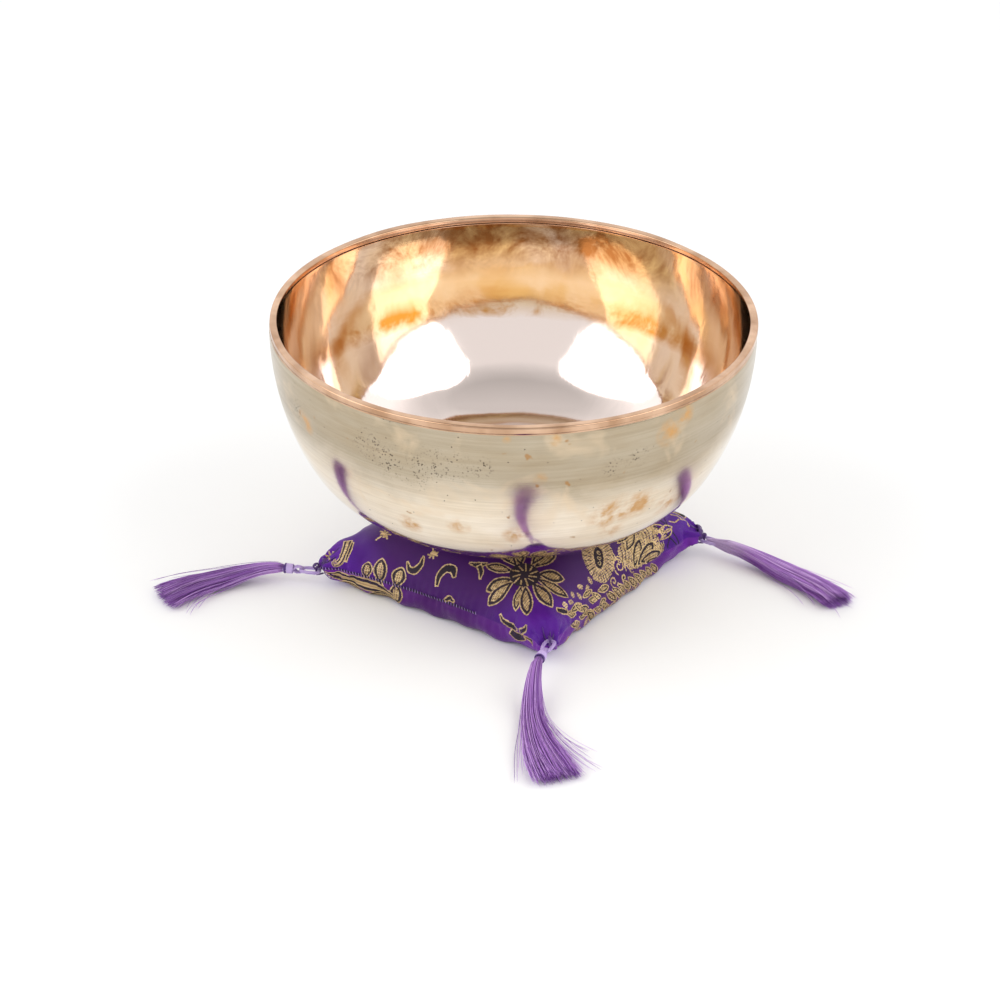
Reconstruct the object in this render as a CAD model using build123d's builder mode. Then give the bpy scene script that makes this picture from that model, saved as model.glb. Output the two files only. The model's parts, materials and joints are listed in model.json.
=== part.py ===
from build123d import *
from math import cos, pi, radians, sin
import os

# A hand-hammered singing bowl standing on a small square cushion with a tassel at
# each corner. The origin is on the bowl's axis, on the surface the cushion lies on.
# +Z is up and the cushion's front corner points towards -Y. Sizes are in millimetres.

# Bowl: a flat base, a heel arc and a wall arc, offset inwards by the wall thickness
BOWL_RIM_RADIUS = 120.0
BOWL_HEIGHT = 97.0
BOWL_WALL = 3.0
HEEL_RADIUS = 52.0
HEEL_TURN = 60.0
RIM_TANGENT = 92.0
LIP_WIDTH = 4.0
LIP_HEIGHT = 3.2
LIP_PROUD = 0.3
LIP_ROUND = 0.6

# Cushion: two brocade panels seamed at their edges, stuffed with one filling
CUSHION_TOP = 45.7
SEAM_HEIGHT = 12.0
BOWL_CLEARANCE = 0.3
COVER_THICKNESS = 1.2
FILLING_CLEARANCE = 0.1
CORNER_INSET_RATIO = 1.5
LEFT_CORNER_ANGLE = 190.6
CORNER_COUNT = 4
CORNER_TURN = 360.0 / CORNER_COUNT
# Each level is (height, corner distance, side distance, corner rounding)
UPPER_LEVELS = [
    (SEAM_HEIGHT, 98.6, 66.0, 1.5),
    (20.0, 95.0, 66.5, 6.0),
    (30.0, 91.0, 63.5, 12.0),
    (38.0, 86.4, 59.5, 18.0),
    (CUSHION_TOP, 77.0, 54.0, 22.0),
]
LOWER_LEVELS = [
    (0.0, 66.0, 44.0, 12.0),
    (2.0, 80.0, 56.0, 10.0),
    (6.0, 92.0, 64.0, 5.0),
    (SEAM_HEIGHT, 98.6, 66.0, 1.5),
]

# Slip stitches that close the seam between the left and the front corner
STITCH_COUNT = 26
STITCH_LENGTH = 2.4
STITCH_RADIUS = 0.4
STITCH_FIRST = 0.06
STITCH_LAST = 0.94

# Corner stitch: a staple of wound thread whose upright the hanging loop goes around
UPRIGHT_DISTANCE = 100.5
UPRIGHT_HALF_HEIGHT = 2.5
THREAD_RADIUS = 0.7
STAPLE_ARM = 3.4
STAPLE_REACH = 4.7
STAPLE_BITE = 0.9
STAPLE_BEND = 1.0

# Hanging loop: a closed link of cord, around the upright and through the tassel's eye
LOOP_CORD_RADIUS = 0.8
LOOP_HALF_WIDTH = 2.4
LOOP_REACH = 8.0
LOOP_BEND = 1.1
RUNNING_GAP = 0.1

# Tassel head and the collar wound around its neck, measured outwards from the eye
EYE_RADIUS = LOOP_CORD_RADIUS + RUNNING_GAP
TONGUE_WIDTH = 2.4
TONGUE_RADIUS = 1.9
TONGUE_LENGTH = 3.0
NECK_RADIUS = 2.0
NECK_START = 1.9
BINDING_START = 3.6
BINDING_TURNS = 5
BINDING_THREAD = 0.5
SKIRT_START = BINDING_START + 2 * BINDING_THREAD * BINDING_TURNS

# Skirt: loose threads taken together as one tapering form that droops to the surface
SKIRT_NECK_HALF = 3.2
SKIRT_BELLY_HALF_HEIGHT = 4.2
SKIRT_TIP_HALF_HEIGHT = 3.0
SKIRT_BELLY_AT = 0.45
SKIRT_STATIONS = 7
SKIRT_DROOP_LENGTH = 38.0
SKIRT_FLOOR_GAP = 0.2
ROUTE_STEP = 0.5

# name: corner angle, loop height, heading, sideways bend, how late the bend comes, skirt
# length, belly and tip half-widths. Headings are the directions the tassels leave their
# corners in, seen from above.
TASSELS = {
    "left": (LEFT_CORNER_ANGLE, 8.0, 170.0, 62.0, 1.0, 66.0, 8.5, 9.5),
    "front": (LEFT_CORNER_ANGLE + CORNER_TURN, 14.5, 251.0, 40.0, 0.6, 90.0, 7.0, 13.0),
    "right": (LEFT_CORNER_ANGLE + 2 * CORNER_TURN, 7.0, 327.0, -30.0, 2.0, 72.0, 7.0, 7.5),
    "back": (LEFT_CORNER_ANGLE + 3 * CORNER_TURN, 12.0, 450.0, 25.0, 2.0, 74.0, 7.5, 9.0),
}


def from_axis(distance, angle, height=0.0):
    """Point at a distance from the bowl's axis, in a direction seen from above."""
    return Vector(distance * cos(radians(angle)), distance * sin(radians(angle)), height)


def write(builder, name):
    builder.part.label = name
    export_step(builder.part, f"parts/{name}.step")


# ---------------------------------------------------------------- bowl


def build_bowl():
    base_z = CUSHION_TOP + BOWL_CLEARANCE
    heel = radians(HEEL_TURN)
    rim = radians(RIM_TANGENT)
    # The wall's radius and the base's radius that bring the wall to the rim
    wall_radius = (BOWL_HEIGHT - HEEL_RADIUS * (1 - cos(heel))) / (cos(heel) - cos(rim))
    base_radius = (
        BOWL_RIM_RADIUS - HEEL_RADIUS * sin(heel) - wall_radius * (sin(rim) - sin(heel))
    )
    wall_turn = RIM_TANGENT - HEEL_TURN
    floor_z = base_z + BOWL_WALL
    outward = (1, 0)
    with BuildPart() as bowl:
        with BuildSketch(Plane.XZ):
            with BuildLine():
                base = Line((0, base_z), (base_radius, base_z))
                outer_heel = JernArc(base @ 1, outward, HEEL_RADIUS, HEEL_TURN)
                outer_wall = JernArc(outer_heel @ 1, outer_heel % 1, wall_radius, wall_turn)
                floor = Line((0, floor_z), (base_radius, floor_z))
                inner_heel = JernArc(floor @ 1, outward, HEEL_RADIUS - BOWL_WALL, HEEL_TURN)
                inner_wall = JernArc(
                    inner_heel @ 1, inner_heel % 1, wall_radius - BOWL_WALL, wall_turn
                )
                Line(outer_wall @ 1, inner_wall @ 1)
                Line(floor @ 0, base @ 0)
            make_face()
        revolve(axis=Axis.Z)
        lip_centre_r = BOWL_RIM_RADIUS + LIP_PROUD - LIP_WIDTH / 2
        lip_centre_z = base_z + BOWL_HEIGHT - LIP_HEIGHT / 2
        with BuildSketch(Plane.XZ):
            with Locations((lip_centre_r, lip_centre_z)):
                RectangleRounded(LIP_WIDTH, LIP_HEIGHT, LIP_ROUND)
        revolve(axis=Axis.Z)
    write(bowl, "bowl")


# ---------------------------------------------------------------- cushion


def side_arcs(corner_distance, side_distance):
    """Four arcs between the corners, each passing its side's middle."""
    for index in range(CORNER_COUNT):
        angle = LEFT_CORNER_ANGLE + index * CORNER_TURN
        ThreePointArc(
            from_axis(corner_distance, angle),
            from_axis(side_distance, angle + CORNER_TURN / 2),
            from_axis(corner_distance, angle + CORNER_TURN),
        )


def cushion_half(levels, inset=0.0):
    """Half of the cushion, from its seam to its flat face, shrunk by an inset."""
    flat_height = max(levels, key=lambda level: abs(level[0] - SEAM_HEIGHT))[0]
    shrink = 1 - inset / abs(flat_height - SEAM_HEIGHT)
    with BuildPart() as half:
        for height, corner_distance, side_distance, rounding in levels:
            section_height = SEAM_HEIGHT + (height - SEAM_HEIGHT) * shrink
            with BuildSketch(Plane.XY.offset(section_height)) as section:
                with BuildLine():
                    side_arcs(
                        corner_distance - inset * CORNER_INSET_RATIO, side_distance - inset
                    )
                make_face()
                fillet(section.vertices(), rounding)
        loft()
    return half.part


def build_cushion():
    for name, levels in (("cover_top", UPPER_LEVELS), ("cover_bottom", LOWER_LEVELS)):
        outside = cushion_half(levels)
        inside = cushion_half(levels, COVER_THICKNESS)
        with BuildPart() as cover:
            add(outside)
            add(inside, mode=Mode.SUBTRACT)
        write(cover, name)
    filling_inset = COVER_THICKNESS + FILLING_CLEARANCE
    upper_half = cushion_half(UPPER_LEVELS, filling_inset)
    lower_half = cushion_half(LOWER_LEVELS, filling_inset)
    with BuildPart() as filling:
        add(upper_half)
        add(lower_half)
    write(filling, "filling")


def build_closing_stitches():
    seam_corner = UPPER_LEVELS[0][1]
    seam_side = UPPER_LEVELS[0][2]
    with BuildLine() as seam:
        ThreePointArc(
            from_axis(seam_corner, LEFT_CORNER_ANGLE, SEAM_HEIGHT),
            from_axis(seam_side, LEFT_CORNER_ANGLE + CORNER_TURN / 2, SEAM_HEIGHT),
            from_axis(seam_corner, LEFT_CORNER_ANGLE + CORNER_TURN, SEAM_HEIGHT),
        )
    spacing = (STITCH_LAST - STITCH_FIRST) / (STITCH_COUNT - 1)
    places = [STITCH_FIRST + spacing * index for index in range(STITCH_COUNT)]
    stitch_planes = [Plane(seam.line @ u, z_dir=seam.line % u) for u in places]
    with BuildPart() as stitches:
        with Locations(*stitch_planes):
            Cylinder(STITCH_RADIUS, STITCH_LENGTH)
    write(stitches, "closing_stitches")


# ---------------------------------------------------------------- tassels


def build_corner_stitch(name, corner_angle, loop_height):
    top = loop_height + UPRIGHT_HALF_HEIGHT
    bottom = loop_height - UPRIGHT_HALF_HEIGHT
    outward = from_axis(1, corner_angle)
    side = Plane(from_axis(UPRIGHT_DISTANCE, corner_angle), x_dir=outward,
                 z_dir=outward.cross(Vector(0, 0, 1)))
    with BuildPart() as staple:
        with BuildLine(side) as path:
            FilletPolyline(
                (-STAPLE_REACH, SEAM_HEIGHT + STAPLE_BITE),
                (-STAPLE_ARM, top),
                (0, top),
                (0, bottom),
                (-STAPLE_ARM, bottom),
                (-STAPLE_REACH, SEAM_HEIGHT - STAPLE_BITE),
                radius=STAPLE_BEND,
            )
        with BuildSketch(Plane(path.line @ 0, z_dir=path.line % 0)):
            Circle(THREAD_RADIUS)
        sweep()
    write(staple, f"corner_stitch_{name}")


def build_hanging_loop(name, corner_angle, loop_height, heading):
    upright = from_axis(UPRIGHT_DISTANCE, corner_angle, loop_height)
    level = Plane(upright, x_dir=from_axis(1, heading), z_dir=(0, 0, 1))
    near = -(THREAD_RADIUS + RUNNING_GAP + LOOP_CORD_RADIUS)
    with BuildPart() as loop:
        with BuildLine(level) as path:
            FilletPolyline(
                (near, -LOOP_HALF_WIDTH),
                (LOOP_REACH, -LOOP_HALF_WIDTH),
                (LOOP_REACH, LOOP_HALF_WIDTH),
                (near, LOOP_HALF_WIDTH),
                radius=LOOP_BEND,
                close=True,
            )
        with BuildSketch(Plane(path.line @ 0, z_dir=path.line % 0)):
            Circle(LOOP_CORD_RADIUS)
        sweep()
    write(loop, f"hanging_loop_{name}")


def build_tassel_head(name, eye, heading):
    outward = from_axis(1, heading)
    level = Plane(eye, x_dir=outward, z_dir=(0, 0, 1))
    across = Plane(eye, x_dir=outward, z_dir=outward.cross(Vector(0, 0, 1)))
    with BuildPart() as head:
        with BuildSketch(across):
            Circle(TONGUE_RADIUS)
            Rectangle(TONGUE_LENGTH, 2 * TONGUE_RADIUS, align=(Align.MIN, Align.CENTER))
        extrude(amount=TONGUE_WIDTH / 2, both=True)
        with BuildSketch(Plane(eye + outward * NECK_START, z_dir=outward)):
            Circle(NECK_RADIUS)
        extrude(amount=SKIRT_START - NECK_START)
        with BuildSketch(across):
            Circle(EYE_RADIUS)
        extrude(amount=TONGUE_WIDTH, both=True, mode=Mode.SUBTRACT)
    write(head, f"tassel_head_{name}")

    with BuildPart() as binding:
        with BuildSketch(level):
            with Locations((BINDING_START, 0)):
                Rectangle(SKIRT_START - BINDING_START, NECK_RADIUS + BINDING_THREAD / 2,
                          align=(Align.MIN, Align.MIN))
            for turn in range(BINDING_TURNS):
                middle = BINDING_START + (2 * turn + 1) * BINDING_THREAD
                with Locations((middle, NECK_RADIUS + BINDING_THREAD / 2)):
                    Circle(BINDING_THREAD)
            with Locations((BINDING_START, 0)):
                Rectangle(SKIRT_START - BINDING_START, NECK_RADIUS,
                          align=(Align.MIN, Align.MIN), mode=Mode.SUBTRACT)
        revolve(axis=Axis(eye, outward))
    write(binding, f"neck_binding_{name}")


def blend(start, end, share):
    """Value between two ends, leaving and arriving smoothly."""
    share = min(max(share, 0.0), 1.0)
    return start + (end - start) * (1 - cos(pi * share)) / 2


def skirt_half_size(share, belly, tip):
    """Half of the skirt's width or height at a share of its length."""
    if share < SKIRT_BELLY_AT:
        return blend(SKIRT_NECK_HALF, belly, share / SKIRT_BELLY_AT)
    return blend(belly, tip, (share - SKIRT_BELLY_AT) / (1 - SKIRT_BELLY_AT))


def build_skirt(name, eye, heading, bend, lateness, length, belly_half_width, tip_half_width):
    with BuildPart() as skirt:
        point = eye + from_axis(SKIRT_START, heading)
        travelled = 0.0
        for station in range(SKIRT_STATIONS):
            share = station / (SKIRT_STATIONS - 1)
            while travelled < share * length:
                point += from_axis(ROUTE_STEP, heading + bend * (travelled / length) ** lateness)
                travelled += ROUTE_STEP
            half_width = skirt_half_size(share, belly_half_width, tip_half_width)
            half_height = skirt_half_size(share, SKIRT_BELLY_HALF_HEIGHT, SKIRT_TIP_HALF_HEIGHT)
            resting = half_height + SKIRT_FLOOR_GAP
            centre_z = blend(eye.Z, resting, travelled / SKIRT_DROOP_LENGTH)
            direction = from_axis(1, heading + bend * share ** lateness)
            with BuildSketch(Plane((point.X, point.Y, max(centre_z, resting)),
                                   x_dir=direction.cross(Vector(0, 0, 1)), z_dir=direction)):
                Ellipse(half_width, half_height)
        loft()
    write(skirt, f"skirt_{name}")


def build_tassel(name):
    corner_angle, loop_height, heading, bend, lateness, length, belly, tip = TASSELS[name]
    upright = from_axis(UPRIGHT_DISTANCE, corner_angle, loop_height)
    eye = upright + from_axis(LOOP_REACH, heading)
    build_corner_stitch(name, corner_angle, loop_height)
    build_hanging_loop(name, corner_angle, loop_height, heading)
    build_tassel_head(name, eye, heading)
    build_skirt(name, eye, heading, bend, lateness, length, belly, tip)


os.makedirs("parts", exist_ok=True)
build_bowl()
build_cushion()
build_closing_stitches()
for tassel_name in TASSELS:
    build_tassel(tassel_name)
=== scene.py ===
import json
import math

import bpy
import numpy as np
from mathutils import Matrix, Vector, kdtree


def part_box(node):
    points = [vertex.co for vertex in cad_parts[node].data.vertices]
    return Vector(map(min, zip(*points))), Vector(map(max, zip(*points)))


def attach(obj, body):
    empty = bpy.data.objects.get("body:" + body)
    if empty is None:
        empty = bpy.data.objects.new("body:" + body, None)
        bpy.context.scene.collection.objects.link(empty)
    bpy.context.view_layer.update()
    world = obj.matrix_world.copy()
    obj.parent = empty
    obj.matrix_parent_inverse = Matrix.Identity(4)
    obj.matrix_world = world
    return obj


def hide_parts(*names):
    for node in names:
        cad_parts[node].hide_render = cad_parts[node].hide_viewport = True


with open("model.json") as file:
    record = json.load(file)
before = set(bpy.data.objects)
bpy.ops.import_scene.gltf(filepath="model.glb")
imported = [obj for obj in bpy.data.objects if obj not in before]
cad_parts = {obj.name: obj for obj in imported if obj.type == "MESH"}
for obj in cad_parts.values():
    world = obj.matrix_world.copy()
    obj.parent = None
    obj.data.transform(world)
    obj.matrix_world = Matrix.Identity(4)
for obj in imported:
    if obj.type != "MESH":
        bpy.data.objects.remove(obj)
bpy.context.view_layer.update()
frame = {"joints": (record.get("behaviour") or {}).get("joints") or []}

MM = 0.001
SEED = 7
CORNERS = ("left", "front", "right", "back")
UP = np.array([0, 0, 1.0])


# ---------------------------------------------------------------- camera, light, floor

CAMERA_DISTANCE = 1.920
CAMERA_ELEVATION = math.radians(28.7)
CAMERA_ROLL = math.radians(0.33)
CAMERA_LENS = 136.8
SENSOR = 36.0
LOOK_AT = Vector((-0.0062, 0.0, 0.0393))
SOFTBOX_ASIDE = 1.25
SOFTBOX_AIM = Vector((0, 0, 0.1))
SOFTBOX_WIDTH = 1.8
SOFTBOX_WATTS = 9.6
TENT_STRENGTH = 1.18
FLOOR_SIZE = 6.0


def make_camera():
    back = Vector((0, -math.cos(CAMERA_ELEVATION), math.sin(CAMERA_ELEVATION)))
    camera = link_piece("camera", bpy.data.cameras.new("camera"))
    camera.data.lens = CAMERA_LENS
    camera.data.sensor_width = SENSOR
    camera.data.clip_start = 0.05
    camera.data.clip_end = 50.0
    turn = (-back).to_track_quat("-Z", "Y").to_matrix() @ Matrix.Rotation(CAMERA_ROLL, 3, "Z")
    camera.matrix_world = Matrix.Translation(LOOK_AT + back * CAMERA_DISTANCE) @ turn.to_4x4()
    bpy.context.scene.camera = camera


def make_softbox(name, side):
    light = bpy.data.lights.new(name, "AREA")
    light.shape = "ELLIPSE"
    light.size = light.size_y = SOFTBOX_WIDTH
    light.energy = SOFTBOX_WATTS
    box = link_piece(name, light)
    box.location = (side * SOFTBOX_ASIDE, -0.55, 1.05)
    box.rotation_euler = (SOFTBOX_AIM - box.location).to_track_quat("-Z", "Y").to_euler()


def make_world():
    """A white tent: dimmer overhead and low in front, where the dark studio begins."""
    world = bpy.data.worlds.new("studio")
    bpy.context.scene.world = world
    world.use_nodes = True
    tent = Nodes(world.node_tree)
    split = tent.add("ShaderNodeSeparateXYZ", {0: tent.add("ShaderNodeTexCoord").outputs["Generated"]})
    values = {0: split.outputs["Y"], 1: 0.5, 2: 0.5}
    depth = tent.add("ShaderNodeMath", values, operation="MULTIPLY_ADD").outputs[0]
    backward = tent.ramp(depth, (0.25, 0.72), (0.60, 1.0))
    upward = tent.ramp(split.outputs["Z"], (0.0, 0.80), (0.30, 1.0), (0.72, 1.0), (0.93, 0.55))
    background = tent.tree.nodes["Background"]
    tent.put(background.inputs["Color"], tent.mix(1.0, backward, upward, blend="MULTIPLY"))
    background.inputs["Strength"].default_value = TENT_STRENGTH


def make_floor():
    corners = [(-1, -1, 0), (1, -1, 0), (1, 1, 0), (-1, 1, 0)]
    floor = new_mesh("floor", np.array(corners) * FLOOR_SIZE, [(0, 1, 2, 3)])
    paint = Paint("floor_paper")
    paint.set(Base_Color=(0.96, 0.96, 0.96, 1), Roughness=0.9)
    floor.data.materials.append(paint.material)


# ---------------------------------------------------------------- mesh and material helpers


def new_mesh(name, points, faces):
    mesh = bpy.data.meshes.new(name)
    mesh.from_pydata([tuple(p) for p in points], [], [tuple(f) for f in faces])
    mesh.update()
    mesh.polygons.foreach_set("use_smooth", [True] * len(mesh.polygons))
    return link_piece(name, mesh)


def link_piece(name, data):
    piece = bpy.data.objects.new(name, data)
    bpy.context.scene.collection.objects.link(piece)
    return piece


def unit(vectors):
    return vectors / np.maximum(np.linalg.norm(vectors, axis=-1, keepdims=True), 1e-12)


def ring_faces(rows, around):
    """Quads of closed rings of points, numbered ring by ring."""
    row, column = np.meshgrid(np.arange(rows - 1), np.arange(around), indexing="ij")
    here, after = row * around + column, row * around + (column + 1) % around
    return np.stack([here + around, after + around, after, here], -1).reshape(-1, 4)


class Nodes:
    """A node tree with short calls for the nodes used here."""

    def __init__(self, tree):
        self.tree = tree

    def add(self, kind, inputs=None, **settings):
        node = self.tree.nodes.new(kind)
        for key, value in settings.items():
            setattr(node, key, value)
        for key, value in (inputs or {}).items():
            self.put(node.inputs[key], value)
        return node

    def put(self, socket, value):
        if isinstance(value, bpy.types.NodeSocket):
            self.tree.links.new(value, socket)
        else:
            socket.default_value = value

    def math(self, operation, a, b=0.0, clamp=False):
        node = self.add("ShaderNodeMath", {0: a, 1: b}, operation=operation, use_clamp=clamp)
        return node.outputs[0]

    def times(self, a, b, clamp=False):
        return self.math("MULTIPLY", a, b, clamp)

    def vector(self, operation, a, b=(0, 0, 0), output=0):
        return self.add("ShaderNodeVectorMath", {0: a, 1: b}, operation=operation).outputs[output]

    def noise(self, place, scale, detail=4.0, roughness=0.5, distortion=0.0):
        values = {"Vector": place, "Scale": scale, "Detail": detail}
        values |= {"Roughness": roughness, "Distortion": distortion}
        return self.add("ShaderNodeTexNoise", values).outputs["Fac"]

    def ramp(self, value, *stops):
        """Colour ramp through (position, grey or colour) stops."""
        node = self.add("ShaderNodeValToRGB", {"Fac": value})
        elements = node.color_ramp.elements
        while len(elements) < len(stops):
            elements.new(0.5)
        for element, (position, colour) in zip(elements, stops):
            element.position = position
            if isinstance(colour, (int, float)):
                colour = (colour, colour, colour)
            element.color = (*colour, 1)
        return node.outputs["Color"]

    def mix(self, share, a, b, blend="MIX"):
        node = self.add("ShaderNodeMix", data_type="RGBA", blend_type=blend)
        self.put(node.inputs[0], share)
        for socket, value in ((node.inputs[6], a), (node.inputs[7], b)):
            if isinstance(value, tuple):
                value = (*value, 1) if len(value) == 3 else value
            self.put(socket, value)
        return node.outputs[2]

    def bump(self, height, strength, distance, normal=None):
        values = {"Height": height, "Strength": strength, "Distance": distance}
        if normal is not None:
            values["Normal"] = normal
        return self.add("ShaderNodeBump", values).outputs["Normal"]

    def place(self):
        return self.add("ShaderNodeTexCoord").outputs["Object"]


class Paint(Nodes):
    """A material with one Principled shader."""

    def __init__(self, name):
        self.material = bpy.data.materials.new(name)
        self.material.use_nodes = True
        super().__init__(self.material.node_tree)
        self.bsdf = self.tree.nodes["Principled BSDF"]

    def set(self, **values):
        for key, value in values.items():
            self.put(self.bsdf.inputs[key.replace("_", " ")], value)


# ---------------------------------------------------------------- bowl

FLOOR_DOME = 1.0 * MM
BOWL_WALL = 3.0 * MM
HEEL_RADIUS = 52.0 * MM
HEEL_TURN = math.radians(60.0)
RIM_TANGENT = math.radians(92.0)
LIP_WIDTH = 4.0 * MM
LIP_HEIGHT = 3.2 * MM
LIP_PROUD = 0.3 * MM
LIP_ROUND = 0.7 * MM
AROUND = 480
BOWL_STEP = 2.0 * MM
CENTRE_RADIUS = 0.4 * MM
OUTSIDE, LIP, INSIDE = 0, 1, 2
# How many broad waves go round the bowl, and their depth in mm
WAVE_LOBES, WAVE_DEPTH = (2, 3, 5, 7, 11, 16), 0.16
# Hammer marks: face, distance apart, depth
HAMMERING = ((OUTSIDE, 17 * MM, 0.10 * MM), (INSIDE, 16 * MM, 0.20 * MM))
MARK_SOFTNESS = 6.0
# Bronze: a pale lower outside, part polish and part painted reflection of the bright floor, a duller worn
# upper band, stained, specked and pitted; lip; floor, wall and patina inside
POLISH_AND_PAINTED_REFLECTION, DULL, WARM = (0.96, 0.87, 0.74), (0.52, 0.445, 0.335), (0.80, 0.62, 0.42)
STAIN, SPECK, PIT = (0.62, 0.35, 0.14), (0.42, 0.22, 0.08), (0.06, 0.045, 0.03)
LIP_TONES = (0.70, 0.46, 0.31), (0.46, 0.27, 0.16)
ROSE, WALL_TONES = (0.95, 0.82, 0.765), ((0.93, 0.77, 0.60), (0.88, 0.66, 0.42))
GILT, BURNT, RUSTY = (0.82, 0.55, 0.18), (0.34, 0.14, 0.04), (0.60, 0.27, 0.05)


class BowlForm:
    """The bowl's section: a flat base, a heel arc and a wall arc, from the CAD bowl's box."""

    def __init__(self):
        low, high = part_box("bowl")
        self.base_z = low.z
        self.rim_z = high.z
        self.rim_radius = high.x - LIP_PROUD
        height = high.z - low.z
        sin_heel, cos_heel = math.sin(HEEL_TURN), math.cos(HEEL_TURN)
        sin_rim, cos_rim = math.sin(RIM_TANGENT), math.cos(RIM_TANGENT)
        self.wall_radius = (height - HEEL_RADIUS * (1 - cos_heel)) / (cos_heel - cos_rim)
        self.base_radius = (
            self.rim_radius - HEEL_RADIUS * sin_heel - self.wall_radius * (sin_rim - sin_heel)
        )

    def curve(self, inset, step):
        """Points (radius, height) from the base's centre to the rim, inset from the outside."""
        base_z = self.base_z + inset
        flat = np.linspace(CENTRE_RADIUS, self.base_radius, int(self.base_radius / step) + 1)
        points = [(r, base_z) for r in flat]
        heel_radius = HEEL_RADIUS - inset
        heel_z = base_z + heel_radius
        for turn in np.linspace(0, HEEL_TURN, int(heel_radius * HEEL_TURN / step) + 1)[1:]:
            radius = self.base_radius + heel_radius * math.sin(turn)
            points.append((radius, heel_z - heel_radius * math.cos(turn)))
        wall = self.wall_radius - inset
        centre_r = points[-1][0] - wall * math.sin(HEEL_TURN)
        centre_z = points[-1][1] + wall * math.cos(HEEL_TURN)
        steps = int(wall * (RIM_TANGENT - HEEL_TURN) / step) + 1
        for turn in np.linspace(HEEL_TURN, RIM_TANGENT, steps)[1:]:
            points.append((centre_r + wall * math.sin(turn), centre_z - wall * math.cos(turn)))
        return np.array(points)

    def radius_at(self, height):
        """Distance of the outside wall from the axis at a height."""
        points = self.curve(0.0, 2 * MM)
        return float(np.interp(height, points[:, 1], points[:, 0]))

    def underside(self, radius):
        """Height of the outside at a distance from the axis."""
        beyond = np.clip(radius - self.base_radius, 0, HEEL_RADIUS * math.sin(HEEL_TURN))
        return self.base_z + HEEL_RADIUS - np.sqrt(HEEL_RADIUS**2 - beyond**2)


def lip_outline(form):
    """The flattened rim's rounded outline, from the outside wall round to the inside wall."""
    outer = form.rim_radius + LIP_PROUD
    centre_r = outer - LIP_WIDTH / 2
    centre_z = form.rim_z - LIP_HEIGHT / 2
    half_r, half_z = LIP_WIDTH / 2 - LIP_ROUND, LIP_HEIGHT / 2 - LIP_ROUND
    points = []
    for side_r, side_z, start in ((1, -1, -90), (1, 1, 0), (-1, 1, 90), (-1, -1, 180)):
        for turn in np.radians(np.linspace(start, start + 90, 6)):
            points.append((
                centre_r + side_r * half_r + LIP_ROUND * math.cos(turn),
                centre_z + side_z * half_z + LIP_ROUND * math.sin(turn),
            ))
    return np.array(points)


def hammer_marks(points, spacing, seed):
    """0 at the middle of each overlapping hammer mark, rising to soft ridges between them."""
    random = np.random.default_rng(seed)
    marks = points[random.permutation(len(points))]
    chosen = []
    taken = {}
    for point in marks:
        cell = tuple(np.floor(point / spacing).astype(int))
        near = [
            other
            for dx in (-1, 0, 1)
            for dy in (-1, 0, 1)
            for dz in (-1, 0, 1)
            for other in taken.get((cell[0] + dx, cell[1] + dy, cell[2] + dz), ())
        ]
        if all(np.sum((point - other) ** 2) > (0.8 * spacing) ** 2 for other in near):
            taken.setdefault(cell, []).append(point)
            chosen.append(point)
    kept = kdtree.KDTree(len(chosen))
    for index, point in enumerate(chosen):
        kept.insert(Vector(point), index)
    kept.balance()
    heights = np.empty(len(points))
    for index, point in enumerate(points):
        shares = [(d / spacing) ** 2 for _, _, d in kept.find_n(Vector(point), 4)]
        heights[index] = -math.log(sum(math.exp(-MARK_SOFTNESS * s) for s in shares)) / MARK_SOFTNESS
    return heights


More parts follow.
